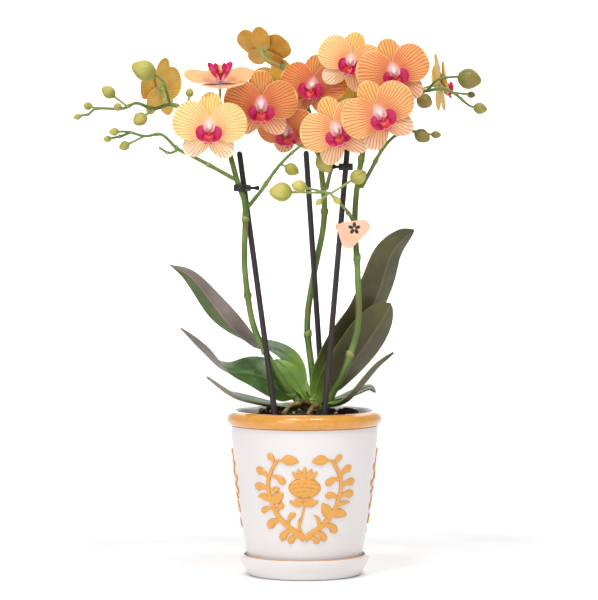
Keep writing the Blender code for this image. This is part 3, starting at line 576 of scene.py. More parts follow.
def glaze(name, body, pooled, roughness):
    """Fired glaze: a little uneven in colour, with a faint orange-peel skin."""
    paint = Paint(name, roughness)
    cloud = paint.mottle(0.02, 2)
    paint.colour(paint.mix(paint.span(cloud, 0.2, 0.8), body, pooled))
    paint.rough(paint.span(paint.mottle(0.12, 2), 0.2, 0.8, roughness - 0.02, roughness + 0.03))
    paint.bump(paint.mottle(0.35, 1), 0.012, 0.1)
    paint.constant(Coat_Weight=0.25, Coat_Roughness=0.15)
    return paint.material


def ornament_glaze(name, top, pooled):
    """Rim and ornament glaze: thick and dark where it pools at the foot of the relief, thin on top."""
    paint = Paint(name, 0.28)
    rise = paint.marks()[3]
    drift = paint.math("SUBTRACT", paint.mottle(0.22, 3), 0.5)
    cloud = paint.plus(rise, paint.times(drift, 0.4))
    paint.colour(paint.mix(paint.span(cloud, 0.1, 0.85), pooled, top))
    paint.bump(paint.mottle(0.5, 2), 0.04, 0.25)
    paint.constant(Coat_Weight=1.0, Coat_Roughness=0.05)
    return paint.material


def bark_paint(name, dark, light):
    paint = Paint(name, 0.85, 0.25)
    grain = paint.mottle(0.5, 5, paint.place((1, 1, 3)), 0.65)
    tone = paint.marks()[2]
    tint = paint.mix(paint.times(tone, paint.span(grain, 0.35, 0.75)), dark, light)
    paint.colour(tint)
    paint.bump(grain, 0.5, 0.8)
    return paint.material


def moss_paint(name):
    paint = Paint(name, 0.9, 0.2)
    paint.colour(paint.mix(paint.mottle(0.8, 4), srgb(34, 46, 14), srgb(112, 128, 40)))
    paint.bump(paint.mottle(1.6, 3), 0.6, 0.9)
    return paint.material


def root_paint(name):
    paint = Paint(name, 0.7, 0.3)
    band = paint.mottle(0.25, 4)
    base = paint.mix(paint.span(band, 0.3, 0.7), srgb(96, 70, 40), srgb(164, 140, 96))
    paint.colour(paint.mix(paint.span(paint.mottle(0.6, 3), 0.5, 0.72), base, srgb(92, 110, 52)))
    paint.bump(band, 0.3, 0.7)
    soften(paint, 0.1, 0.8)
    return paint.material


def crown_paint(name):
    paint = Paint(name, 0.4)
    along = paint.marks()[1]
    streak = paint.mottle(0.4, 3, paint.place((1, 1, 0.12)))
    green = paint.mix(paint.span(streak, 0.3, 0.7), srgb(118, 150, 54), srgb(170, 190, 84))
    paint.colour(paint.mix(paint.span(along, 0.0, 12.0), srgb(186, 190, 120), green))
    paint.bump(streak, 0.2, 0.5)
    soften(paint, 0.15, 1.5)
    return paint.material


def leaf_veins(paint, across, count):
    drift = paint.times(paint.mottle(0.06, 2), 0.25)
    return paint.lines(paint.plus(paint.times(across, count), drift), 0.22)


def leaf_upper_paint(name, green):
    """Upper side of a leaf: waxy green, bright at the sheath, mottled, with fine veins and a midrib."""
    paint = Paint(name, 0.34)
    across, _, _, edge = paint.marks()
    cloud = paint.span(paint.mottle(0.05, 4), 0.3, 0.72)
    fresh = paint.mix(cloud, srgb(124, 160, 58), srgb(150, 184, 74))
    deep = paint.mix(cloud, green, srgb(72, 106, 46))
    blotch = paint.span(paint.mottle(0.22, 4), 0.52, 0.66)
    deep = paint.mix(paint.times(blotch, 0.35), deep, srgb(108, 136, 74))
    body = paint.mix(paint.span(edge, 0.0, 1.0), deep, fresh)
    body = paint.mix(paint.times(leaf_veins(paint, across, 9.0), 0.16), body, srgb(118, 146, 76))
    rib = paint.span(paint.math("ABSOLUTE", across), 0.07, 0.0)
    body = paint.mix(paint.times(rib, 0.45), body, srgb(134, 164, 84))
    rim = paint.span(paint.math("ABSOLUTE", across), 0.93, 1.0)
    paint.colour(paint.mix(paint.times(rim, 0.5), body, srgb(140, 150, 92)))
    paint.rough(paint.span(paint.mottle(0.09, 3), 0.3, 0.7, 0.28, 0.44))
    paint.bump(leaf_veins(paint, across, 9.0), 0.12, 0.4)
    paint.constant(Coat_Weight=0.1, Coat_Roughness=0.25)
    soften(paint, 0.12, 1.2)
    return paint.material


def leaf_under_paint(name, flush):
    """Underside: purple-grey and green halves on the left leaves; olive on the right ones."""
    paint = Paint(name, 0.5)
    across, _, tone, edge = paint.marks()
    cloud = paint.span(paint.mottle(0.045, 4), 0.3, 0.7)
    flushed = paint.mix(cloud, flush, srgb(142, 126, 120))
    olive = paint.mix(cloud, srgb(70, 66, 32), srgb(92, 86, 46))
    body = paint.mix(tone, flushed, olive)
    half = paint.times(paint.span(across, -0.02, 0.06), paint.math("SUBTRACT", 1.0, tone))
    green_half = paint.mix(cloud, srgb(70, 96, 40), srgb(98, 120, 60))
    body = paint.mix(paint.times(half, 0.9), body, green_half)
    rim = paint.times(paint.span(paint.math("ABSOLUTE", across), 0.8, 1.0), 0.4)
    body = paint.mix(rim, body, paint.mix(tone, srgb(118, 126, 84), srgb(88, 98, 44)))
    bright = paint.mix(cloud, srgb(116, 150, 52), srgb(142, 174, 68))
    body = paint.mix(paint.span(edge, 0.0, 1.0), body, bright)
    body = paint.mix(paint.times(leaf_veins(paint, across, 11.0), 0.2), body, srgb(64, 56, 42))
    rib = paint.span(paint.math("ABSOLUTE", across), 0.08, 0.01)
    rib_tint = paint.mix(tone, srgb(166, 152, 140), srgb(124, 120, 70))
    paint.colour(paint.mix(paint.times(rib, 0.55), body, rib_tint))
    paint.bump(leaf_veins(paint, across, 11.0), 0.15, 0.5)
    soften(paint, 0.1, 1.2)
    return paint.material


def stem_paint(name):
    """Stem skin: green with a brown flush and pale flecks; the tone runs from spike green to pale stalk."""
    paint = Paint(name, 0.42)
    tone = paint.marks()[2]
    cloud = paint.mottle(0.06, 4)
    spike = paint.mix(paint.span(cloud, 0.35, 0.7), srgb(84, 112, 42), srgb(116, 140, 60))
    spike = paint.mix(paint.span(paint.mottle(0.03, 2), 0.58, 0.75), spike, srgb(112, 96, 52))
    body = paint.mix(tone, spike, srgb(176, 184, 112))
    flecks = paint.span(paint.cells(0.9), 0.16, 0.05)
    paint.colour(paint.mix(paint.times(flecks, 0.3), body, srgb(190, 196, 130)))
    paint.bump(paint.mottle(0.3, 3, paint.place((1, 1, 0.2))), 0.15, 0.5)
    paint.constant(Coat_Weight=0.1, Coat_Roughness=0.3)
    soften(paint, 0.12, 0.8)
    return paint.material


def bract_paint(name):
    paint = Paint(name, 0.6)
    across, along, _, _ = paint.marks()
    ribs = paint.lines(paint.times(across, 7.0), 0.3)
    body = paint.mix(paint.span(along, 0.1, 0.9), srgb(124, 146, 66), srgb(178, 174, 116))
    paint.colour(paint.mix(paint.times(ribs, 0.35), body, srgb(128, 104, 66)))
    paint.bump(ribs, 0.08, 0.5)
    return paint.material


def bud_paint(name):
    """Bud skin: yellow-green to olive, ribbed with veins and darker along the seams."""
    paint = Paint(name, 0.42)
    across, along, tone, edge = paint.marks()
    ribs = paint.lines(paint.plus(paint.times(across, 21.0), paint.mottle(0.15, 2)), 0.28)
    ripe = paint.mix(tone, srgb(212, 200, 104), srgb(142, 122, 58))
    green = paint.mix(tone, srgb(176, 176, 80), srgb(112, 108, 46))
    body = paint.mix(paint.span(along, 0.15, 0.8), green, ripe)
    body = paint.mix(paint.times(ribs, 0.4), body, srgb(136, 144, 58))
    body = paint.mix(paint.times(edge, 0.55), body, srgb(118, 112, 46))
    tip = paint.times(paint.span(along, 0.86, 1.0), 0.5)
    paint.colour(paint.mix(tip, body, srgb(196, 150, 96)))
    paint.bump(ribs, 0.1, 0.5)
    soften(paint, 0.2, 1.0)
    return paint.material


def petal_ground(paint, along, tone, kind, cream, apricot):
    """Ground colour of a tepal before its veins: the top sepal is yellower, the lower ones pinker."""
    # Cream to apricot by the tone: partly the blossom's own colour, partly painted shade on blossoms that
    # sit deep among the others.
    body = paint.mix(paint.span(tone, 0.0, 1.0), cream, apricot)
    is_top = paint.math("COMPARE", kind, 1.0, 0.1)
    is_low = paint.math("COMPARE", kind, 2.0, 0.1)
    golden = paint.mix(tone, srgb(246, 208, 112), srgb(200, 140, 40))
    body = paint.mix(paint.times(is_top, 0.7), body, golden)
    low_pale = paint.times(is_low, paint.span(along, 0.4, 1.0, 0.2, 0.65))
    body = paint.mix(low_pale, body, paint.mix(tone, srgb(250, 230, 214), srgb(240, 196, 156)))
    blush = paint.times(paint.span(along, 0.66, 0.1), paint.span(tone, 0.0, 0.7, 0.4, 0.9))
    blush = paint.times(blush, paint.math("SUBTRACT", 1.0, paint.times(is_top, 0.6)))
    body = paint.mix(blush, body, paint.mix(tone, srgb(242, 164, 116), srgb(204, 88, 40)))
    white = paint.times(is_low, paint.span(along, 0.44, 0.2))
    body = paint.mix(paint.times(white, 0.8), body, srgb(250, 214, 222))
    return paint.mix(paint.times(paint.span(along, 0.2, 0.06), 0.8), body, srgb(250, 218, 224))


def petal_veins(paint, across):
    """Lines that fan out from the claw and wander a little."""
    drift = paint.times(paint.mottle(0.13, 2), 1.25)
    return paint.lines(paint.plus(paint.times(across, VEIN_DENSITY), drift), 0.26)


def petal_paint(name, cream, apricot, vein):
    """Face of a tepal: veins that fan out from the claw over a cream to apricot ground."""
    paint = Paint(name, 0.5)
    across, along, mixed_tone, edge = paint.marks()
    kind = paint.math("FLOOR", mixed_tone)
    tone = paint.math("SUBTRACT", mixed_tone, kind)
    body = petal_ground(paint, along, tone, kind, cream, apricot)
    veins = petal_veins(paint, across)
    shown = paint.times(veins, paint.span(edge, 1.0, 0.9))
    shown = paint.times(shown, paint.span(along, 0.08, 0.3))
    shown = paint.times(shown, paint.span(tone, 0.0, 0.8, 0.66, 0.95))
    tint = paint.mix(tone, vein, srgb(186, 52, 34))
    body = paint.mix(shown, body, paint.mix(paint.times(kind, 0.2), tint, srgb(220, 104, 118)))
    margin = paint.times(paint.span(edge, 0.93, 1.0), 0.6)
    paint.colour(paint.mix(margin, body, srgb(252, 222, 158)))
    paint.bump(paint.plus(veins, paint.mottle(2.2, 2)), 0.09, 0.55)
    soften(paint, 0.25, 0.9)
    return paint.material


def petal_back_paint(name):
    """Back of a tepal: golden with faint veins, browner on the deep blossoms, partly as painted shade, and
    green at the claw.
    """
    paint = Paint(name, 0.5)
    across, along, mixed_tone, edge = paint.marks()
    tone = paint.math("FRACT", mixed_tone)
    veins = petal_veins(paint, across)
    cloud = paint.span(paint.mottle(0.09, 3), 0.3, 0.7)
    pale = paint.mix(cloud, srgb(224, 182, 68), srgb(238, 204, 104))
    brown = paint.mix(cloud, srgb(206, 148, 42), srgb(222, 172, 66))
    # Browner by the tone: partly the blossom's own colour, partly painted shade on blossoms deep among the
    # others.
    body = paint.mix(paint.span(tone, 0.1, 0.9), pale, brown)
    body = paint.mix(paint.times(veins, 0.42), body, srgb(178, 104, 36))
    body = paint.mix(paint.span(along, 0.3, 0.05), body, srgb(186, 184, 92))
    paint.colour(paint.mix(paint.span(edge, 0.92, 1.0), body, srgb(240, 206, 122)))
    paint.bump(veins, 0.08, 0.5)
    soften(paint, 0.22, 0.9)
    return paint.material


def lip_paint(name, magenta):
    """Side and middle lobes: magenta, redder and darker inside, pale pink at the foot."""
    paint = Paint(name, 0.4)
    across, along, _, _ = paint.marks()
    streaks = paint.lines(paint.plus(paint.times(across, 5.0), paint.mottle(0.5, 2)), 0.3)
    body = paint.mix(paint.times(streaks, 0.45), magenta, srgb(150, 8, 48))
    body = paint.mix(paint.times(paint.span(along, 0.5, 1.0), 0.35), body, srgb(232, 62, 140))
    paint.colour(paint.mix(paint.span(along, 0.26, 0.0), body, srgb(246, 190, 206)))
    paint.bump(paint.mottle(1.2, 2), 0.08, 0.4)
    soften(paint, 0.2, 0.8)
    return paint.material


def callus_paint(name):
    paint = Paint(name, 0.38)
    _, along, _, _ = paint.marks()
    spots = paint.span(paint.cells(1.3), 0.36, 0.12)
    body = paint.mix(paint.span(along, 0.1, 0.6), srgb(236, 120, 56), srgb(204, 30, 62))
    paint.colour(paint.mix(paint.times(spots, 0.6), body, srgb(150, 16, 32)))
    paint.bump(paint.mottle(1.0, 2), 0.1, 0.5)
    soften(paint, 0.15, 0.8)
    return paint.material


def column_paint(name):
    paint = Paint(name, 0.36)
    along = paint.marks()[1]
    body = paint.mix(paint.span(along, 1.0, 6.5), srgb(246, 206, 216), srgb(238, 212, 190))
    paint.colour(paint.mix(paint.times(paint.span(paint.mottle(0.9, 2), 0.5, 0.7), 0.3), body,
                           srgb(232, 132, 176)))
    paint.bump(paint.mottle(1.4, 2), 0.06, 0.4)
    soften(paint, 0.3, 0.9)
    return paint.material


def plastic_paint(name, dark, light, roughness, grain=(1, 1, 0.05)):
    """Moulded plastic with faint drawn lines and dust."""
    paint = Paint(name, roughness)
    drawn = paint.mottle(0.6, 3, paint.place(grain))
    dust = paint.span(paint.mottle(0.05, 4), 0.5, 0.8)
    paint.colour(paint.mix(paint.times(paint.plus(drawn, dust), 0.5), dark, light))
    paint.rough(paint.span(drawn, 0.3, 0.7, roughness - 0.06, roughness + 0.1))
    paint.bump(drawn, 0.06, 0.5)
    return paint.material


def perlite_paint(name):
    paint = Paint(name, 0.9, 0.2)
    paint.colour(paint.mix(paint.cells(1.2), srgb(250, 247, 240), srgb(196, 188, 176)))
    paint.bump(paint.cells(1.6), 0.3, 0.7)
    return paint.material


# Veins for each unit of the fan coordinate.
VEIN_DENSITY = 4.7
FAN_POWER = 0.75
FAN_START = 4.0


# ---- Pots ----------------------------------------------------------------------------------------
def pot_wall_r(z):
    """Outer radius of the cover pot's wall at a height."""
    share = min(max((z - POT_BASE) / (POT_TOP - RIM_HEIGHT - POT_BASE), 0.0), 1.0)
    return POT_FOOT_R + (POT_TOP_R - POT_FOOT_R) * (1 - (1 - share) ** POT_SWELL)


def pot_profile():
    """Closed profile of the cover pot, and which of its points the rim's coloured glaze lies between."""
    under_rim = POT_TOP - RIM_HEIGHT
    foot_top = POT_BASE + POT_EDGE_R
    foot = arc(pot_wall_r(foot_top) - POT_EDGE_R, foot_top, POT_EDGE_R, -90, 0, 8)
    levels = [foot_top + (under_rim - foot_top) * k / 28 for k in range(1, 28)]
    outside = [(pot_wall_r(z), z) for z in levels]
    outside += [(POT_TOP_R, under_rim), (POT_TOP_R + 0.3, under_rim + 0.25)]
    roll_r = RIM_HEIGHT / 2
    inner_r = POT_TOP_R - POT_WALL
    roll = arc(POT_OUT_R - roll_r, POT_TOP - roll_r, roll_r, -72, 90, 16)
    crest = [(inner_r + 1.9, POT_TOP - 0.35), (inner_r + 1.0, POT_TOP - 1.1),
             (inner_r + 0.4, POT_TOP - 2.2)]
    lip = [(inner_r + 0.1, POT_TOP - 3.6), (inner_r, POT_TOP - 5.0)]
    floor_z = POT_BASE + POT_FLOOR
    inside_levels = [under_rim + (floor_z + 6 - under_rim) * k / 10 for k in range(11)]
    inside = [(pot_wall_r(z) - POT_WALL, z) for z in inside_levels]
    corner_r = pot_wall_r(floor_z + 6) - POT_WALL - 5
    bottom = arc(corner_r, floor_z + 5, 5, -10, -90, 5)
    bottom += [(DRAIN_R, floor_z), (DRAIN_R, POT_BASE), (DRAIN_R + 1, POT_BASE)]
    first = len(foot) + len(outside) - 2
    return foot + outside + roll + crest + lip + inside + bottom, first, first + len(roll) + 1


def saucer_profile():
    inner_r = SAUCER_R - SAUCER_WALL
    half = SAUCER_WALL / 2
    foot = arc(SAUCER_FOOT_R, 3.4, 3.4, -90, -38, 5)
    flank = [(SAUCER_R - 3.6, 5.2), (SAUCER_R - 1.9, 7.6), (SAUCER_R - 0.9, 9.8), (SAUCER_R - 0.25, 12.0)]
    rim = arc(SAUCER_R - half, SAUCER_TOP - half, half, 0, 180, 10)
    inside = [(inner_r - 0.2, 11.5), (inner_r - 0.9, 8.6), (SAUCER_FOOT_R + 3.4, 6.0),
              (SAUCER_FOOT_R + 1.6, 4.5), (SAUCER_FOOT_R - 1.0, SAUCER_FLOOR), (1.0, SAUCER_FLOOR)]
    first = 1 + len(foot) + len(flank)
    return [(1.0, 0.0)] + foot + flank + rim + inside, first + 2, first + 7


def nursery_r(z):
    """Outer radius of the nursery pot's wall at a height."""
    low = bottom_of("nursery_pot")
    share = (z - low) / (NURSERY_TOP - low)
    return NURSERY_FOOT_R + (NURSERY_R - NURSERY_LIP - NURSERY_FOOT_R) * share


def nursery_profile():
    low = bottom_of("nursery_pot")
    lip_z = NURSERY_TOP - NURSERY_LIP
    floor_z = low + NURSERY_WALL
    half = NURSERY_LIP / 2
    lip = [(NURSERY_R - 0.3, lip_z)] + arc(NURSERY_R - half, NURSERY_TOP - half, half, 0, 90, 5)
    return ([(1.0, low), (NURSERY_FOOT_R - 0.8, low), (NURSERY_FOOT_R, low + 0.8),
             (nursery_r(lip_z), lip_z)]
            + lip + [(nursery_r(NURSERY_TOP) - NURSERY_WALL, NURSERY_TOP),
                     (nursery_r(floor_z) - NURSERY_WALL, floor_z), (1.0, floor_z)])


# ---- Ornament ------------------------------------------------------------------------------------
RELIEF_Z = 61.5
RELIEF_R = 48.4
RELIEF_TURNS = (0.0, 120.0, 240.0)
RELIEF_SECTION = [(-1.0, -0.5), (-0.96, 0.35), (-0.78, 0.82), (-0.45, 1.0), (0.0, 0.9), (0.45, 1.0),
                  (0.78, 0.82),
                  (0.96, 0.35), (1.0, -0.5)]


def on_pot(x, y, proud, turn):
    """A place on the pot's wall: x along it and y above the ornament's middle, standing proud of it."""
    z = RELIEF_Z + y
    a = math.radians(turn) + x / RELIEF_R
    r = pot_wall_r(z) + proud
    return Vector((r * math.sin(a), -r * math.cos(a), z))


def add_ridge(skin, line, widths, height, turn):
    """A raised band with rounded shoulders along a flat line."""
    rows, marks = [], []
    for k, (x, y) in enumerate(line):
        ahead, behind = line[min(k + 1, len(line) - 1)], line[max(k - 1, 0)]
        way = Vector((ahead[0] - behind[0], ahead[1] - behind[1])).normalized()
        half = widths[k] / 2
        rise = height * min(1.0, 0.35 + half / 1.4)
        rows.append([on_pot(x - way.y * half * s, y + way.x * half * s, rise * h if h > 0 else h, turn)
                     for s, h in RELIEF_SECTION])
        marks.append([(s, 0.0, 0.0, max(h, 0.0)) for s, h in RELIEF_SECTION])
    skin.grid(rows, marks, 0, wrap=True, caps=True)


def curl(start, heading, length, bend, steps=16):
    """A flat line that leaves at a heading and bends more and more, in degrees."""
    line = [start]
    x, y = start
    for k in range(steps):
        a = math.radians(heading + bend * ((k + 0.5) / steps) ** 1.4)
        x, y = x + math.cos(a) * length / steps, y + math.sin(a) * length / steps
        line.append((x, y))
    return line


def scroll_width(width, t):
    """Comma: thin where it leaves, a round drop at the end."""
    drop = math.sqrt(max(1 - (max(t - 0.78, 0) / 0.22) ** 2, 0.0))
    return max(width * (0.34 + 0.66 * ease(t, 0.1, 0.78)) * drop, 0.12)


def blade_width(width, t):
    return max(width * math.sin(math.pi * min(max(t, 0.0), 1.0) ** 0.8) ** 0.8, 0.12)


def add_scroll(skin, start, heading, length, bend, width, height, turn, shape=scroll_width):
    line = curl(start, heading, length, bend)
    add_ridge(skin, line, [shape(width, k / (len(line) - 1)) for k in range(len(line))], height, turn)


ARM_STEPS = 40
# One arm of the wreath, from its foot below the fruit, in millimetres from the ornament's middle.
ARM = [(0, -31), (6, -27), (14, -21), (21.5, -12.5), (25.5, -2), (26.5, 8), (23.5, 17), (18.5, 25)]
# Leaves of an arm: share along it, turn away from it (outwards is positive), length, bend, width, pointed.
ARM_LEAVES = {
    1: [(0.05, 34, 10.6, 70, 4.9, False), (0.15, 30, 12.7, 95, 5.7, False),
        (0.27, 30, 14.3, 100, 6.5, False),
        (0.40, 36, 13.8, 60, 7.3, True), (0.49, 44, 12.7, 40, 3.4, True), (0.57, 40, 13.2, 80, 6.2, False),
        (0.67, 40, 12.7, 85, 6, False), (0.78, 36, 12.2, 95, 5.7, False), (0.93, 40, 9.01, 70, 4.4, False),
        (0.22, -36, 12.7, -95, 2.9, True), (0.37, -62, 12.7, -20, 8.3, True),
        (0.55, -52, 11.7, -100, 5.5, False),
        (0.76, -58, 12.2, -90, 5.7, False)],
    -1: [(0.07, 30, 11.7, 85, 5.5, False), (0.18, 32, 13.8, 95, 6.2, False),
         (0.33, 34, 14.8, 95, 6.8, False),
         (0.45, 40, 12.7, 90, 4.7, False), (0.54, 38, 12.2, 60, 5.5, True),
         (0.64, 42, 12.7, 95, 6.2, False),
         (0.76, 38, 12.7, 100, 6.2, False), (0.93, 34, 9.54, 80, 4.9, False),
         (0.25, -40, 12.7, -100, 4.4, False), (0.42, -50, 9.54, -60, 4.7, False),
         (0.52, -64, 12.2, -10, 8.6, True),
         (0.63, -60, 9.01, -70, 4.4, False), (0.80, -62, 13.2, -85, 5.5, False)],
}


def wreath_point(t, side):
    """A place on an arm of the wreath, from its foot at 0 to its tip at 1."""
    p = curve_point([Vector(p) for p in ARM], t)
    return side * p.x, p.y


def add_wreath_arm(skin, side, height, turn):
    line = [wreath_point(k / ARM_STEPS, side) for k in range(ARM_STEPS + 1)]
    widths = [5.4 - 2.8 * (k / ARM_STEPS) ** 0.8 for k in range(ARM_STEPS + 1)]
    add_ridge(skin, line, widths, height, turn)
    for t, away, length, bend, width, pointed in ARM_LEAVES[side]:
        here, there = wreath_point(t, side), wreath_point(t + 0.02, side)
        heading = math.degrees(math.atan2(there[1] - here[1], there[0] - here[0]))
        shape = blade_width if pointed else scroll_width
        add_scroll(skin, here, heading - side * away, length, -side * bend, width, height, turn, shape)
    tip = wreath_point(0.99, side)
    inward = 180 if side > 0 else 0
    add_scroll(skin, tip, inward - side * 14, 5.5, side * 20, 2.0, height, turn, blade_width)
    bud = (tip[0] - side * 3.2, tip[1] + 1.0)
    add_scroll(skin, bud, inward, 12.0 if side < 0 else 11.0, side * 16, 7.4, height * 1.1, turn,
               blade_width)


def add_fruit(skin, height, turn):
    """The round fruit in the middle, scored with curved lines, under a pointed crown."""
    rings, sides = 9, 44
    rows, marks = [], []
    for k in range(rings + 1):
        share = 1 - k / rings
        row, mark = [], []
        for n in range(sides):
            a = math.tau * n / sides
            x, y = 11.8 * share * math.cos(a), 7.6 * share * math.sin(a) + 5.5
            score = math.exp(-((math.sin(y * 1.05 + 0.09 * x * x * 0.2) / 0.35) ** 2))
            dome = math.sqrt(max(1 - share ** 4, 0.0))
            rise = -0.5 if k == 0 else height * (0.3 + 0.95 * dome) - 0.38 * score * (share < 0.85)
            row.append(on_pot(x, y, rise, turn))
            mark.append((0.0, 0.0, 0.0, 0.0 if k == 0 else 1.0 - 0.8 * score))
        rows.append(row)
        marks.append(mark)
    skin.grid(rows, marks, 0, wrap=True, caps=True)
    for k in range(-2, 3):
        add_scroll(skin, (k * 1.9, 11.5), 90 - k * 17, 9.5 - abs(k), -k * 8, 3.8, height, turn, blade_width)


def add_sprig(skin, height, turn):
    """The stalk below the fruit, with its two pairs of leaves."""
    line = [(-2.5 + 2.5 * math.cos(k / 6.5), -3.0 - 27 * k / 20) for k in range(21)]
    add_ridge(skin, line, [1.7] * 21, height * 0.9, turn)
    for side in (1, -1):
        add_scroll(skin, (-0.6, -5.6), 90 - side * 96, 11.0, side * 40, 5.0, height, turn, blade_width)
        add_scroll(skin, (-0.4, -3.4), 90 - side * 78, 8.0, -side * 40, 3.2, height, turn, blade_width)
    add_scroll(skin, (-0.5, -29.0), 128, 15.0, -64, 2.2, height, turn, blade_width)


class ORCHID_OT_cover_pot(bpy.types.Operator):
    """Glazed cover pot with its rolled rim and three raised ornaments"""

    bl_idname = "orchid.cover_pot"
    bl_label = "Cover Pot"

    def execute(self, context):
        sizes = context.scene.orchid
        profile, first, last = pot_profile()
        white = glaze("glaze_white", tuple(sizes.glaze_white), srgb(226, 222, 221), 0.3)
        orange = ornament_glaze("glaze_orange", tuple(sizes.glaze_orange), srgb(198, 116, 18))
        pot = Skin()
        add_turned(pot, profile, sizes.round_sides, True, lambda k: 1 if first <= k < last else 0)
        for n in range(len(pot.points)):
            pot.marks[n] = (0.0, 0.0, 0.0, RIM_MARK)
        pot.finish("cover_pot_glazed", [white, orange], ["cover_pot"], 40)
        ornament = Skin()
        for turn in RELIEF_TURNS:
            for side in (1, -1):
                add_wreath_arm(ornament, side, sizes.relief_height, turn)
            add_fruit(ornament, sizes.relief_height, turn)
            add_sprig(ornament, sizes.relief_height, turn)
        ornament.finish("pot_ornament", [orange], [], 70)
        return {"FINISHED"}


class ORCHID_OT_saucer(bpy.types.Operator):
    """Saucer with a thin coloured line on its rim"""

    bl_idname = "orchid.saucer"
    bl_label = "Saucer"

    def execute(self, context):
        sizes = context.scene.orchid
        profile, first, last = saucer_profile()
        white = glaze("saucer_glaze", tuple(sizes.glaze_white), srgb(229, 225, 224), 0.3)
        line = ornament_glaze("saucer_line", srgb(236, 174, 96), srgb(216, 146, 66))
        dish = Skin()
        add_turned(dish, profile, sizes.round_sides, False, lambda k: 1 if first <= k < last else 0)
        dish.finish("saucer_glazed", [white, line], ["saucer"], 40)
        return {"FINISHED"}


# ---- Bark and roots ------------------------------------------------------------------------------
BARK_RIPPLE = 1.3
BARK_SEED = 7
CHIPS_REACH = 39.0
DARK, BROWN, MOSS, PERLITE = range(4)   # the heap's materials, in the order that they are given
MOSS_TUFTS = 60
MOSS_X = (-19, -2)
MOSS_Y = (-32, -8)
PERLITE_GRAINS = 16
GAP = 0.3


def bark_height(x, y):
    """Top of the bark at a place: heaped in the middle and lumpy."""
    edge_r = nursery_r(NURSERY_TOP) - NURSERY_WALL
    heap = BARK_CROWN * (1 - (math.hypot(x, y) / edge_r) ** 2)
    lumps = math.sin(x * 0.21 + 1.0) * math.cos(y * 0.19) + 0.6 * math.sin(x * 0.13 - y * 0.24)
    return NURSERY_TOP - 0.5 + heap + BARK_RIPPLE * lumps


def add_heap(skin):
    """The mass of bark in the nursery pot, lumpy on top."""
    sides, rings = 72, 20
    low = bottom_of("nursery_pot") + NURSERY_WALL + GAP
    edge_r = nursery_r(NURSERY_TOP) - NURSERY_WALL - GAP
    rows = turned_rows([(nursery_r(low) - NURSERY_WALL - GAP, low)], sides)
    for k in range(rings):
        radius = edge_r * (1 - k / rings)
        row = []
        for p in turned_rows([(radius, 0.0)], sides)[0]:
            rough = noise.noise(Vector((p.x, p.y, 0)) * 0.28) * 1.6
            rough += noise.noise(Vector((p.x, p.y, 9)) * 0.7) * 0.8
            row.append(Vector((p.x, p.y, bark_height(p.x, p.y) + rough - 1.2)))
        rows.append(row)
    skin.grid(rows, [[(0.0, 0.0, 0.35, 0.0)] * sides for _ in rows], 0, wrap=True, caps=True)


def add_chip(skin, rng, place, size, slot, flat=0.45):
    """A broken chip: a lumpy block turned at random."""
    turn = rng.uniform(0, math.tau)
    tilt = rng.uniform(-0.5, 0.5)
    tone = rng.uniform(0.1, 1.0)
    seed = rng.uniform(0, 100)
    rows = []
    for k in range(6):
        lat = math.pi * (k / 5 - 0.5)
        row = []
        for n in range(8):
            a = math.tau * n / 8
            across = math.sin(a) * math.cos(lat) * 0.62
            p = Vector((math.cos(a) * math.cos(lat), across, math.sin(lat) * flat))
            p = Vector([math.copysign(abs(c) ** 0.6, c) for c in p])
            p *= size * (1 + 0.35 * noise.noise(p * 1.7 + Vector((seed, 0, 0))))
            x, y = p.x * math.cos(turn) - p.y * math.sin(turn), p.x * math.sin(turn) + p.y * math.cos(turn)
            row.append(place + Vector((x, y, p.z + x * tilt)))
        rows.append(row)
    skin.grid(rows, [[(0.0, 0.0, tone, 0.0)] * 8 for _ in rows], slot, wrap=True, caps=True)


LUMPS = [(33, -10, 6.5), (21, -14, 3.6), (27, -3, 4.0), (-31, -6, 3.5), (-24, 8, 4.0)]   # larger dark chips


def crown_bare(x, y):
    return math.hypot(x - 4, y) > 9


def scatter_chips(skin, rng, count):
    """Bark chips all over the heap, brown for two in five and dark for the rest."""
    for _ in range(count):
        a, r = rng.uniform(0, math.tau), CHIPS_REACH * math.sqrt(rng.uniform(0, 1))
        x, y = r * math.cos(a), r * math.sin(a)
        size = rng.uniform(1.8, 4.4)
        if crown_bare(x, y):
            lift = bark_height(x, y) - 0.6 + size * 0.12
            add_chip(skin, rng, Vector((x, y, lift)), size, BROWN if rng.random() < 0.4 else DARK)


def scatter_moss(skin, rng):
    for _ in range(MOSS_TUFTS):
        x, y = rng.uniform(*MOSS_X), rng.uniform(*MOSS_Y)
        lift = bark_height(x, y) + rng.uniform(-0.6, 1.0)
        add_chip(skin, rng, Vector((x, y, lift)), rng.uniform(0.7, 1.7), MOSS, 0.7)


def scatter_perlite(skin, rng):
    for _ in range(PERLITE_GRAINS):
        a, r = rng.uniform(0, math.tau), rng.uniform(10, 36)
        x, y = r * math.cos(a), r * math.sin(a)
        place = Vector((x, y, bark_height(x, y) + 0.9))
        add_chip(skin, rng, place, rng.uniform(0.8, 1.7), PERLITE, 0.8)


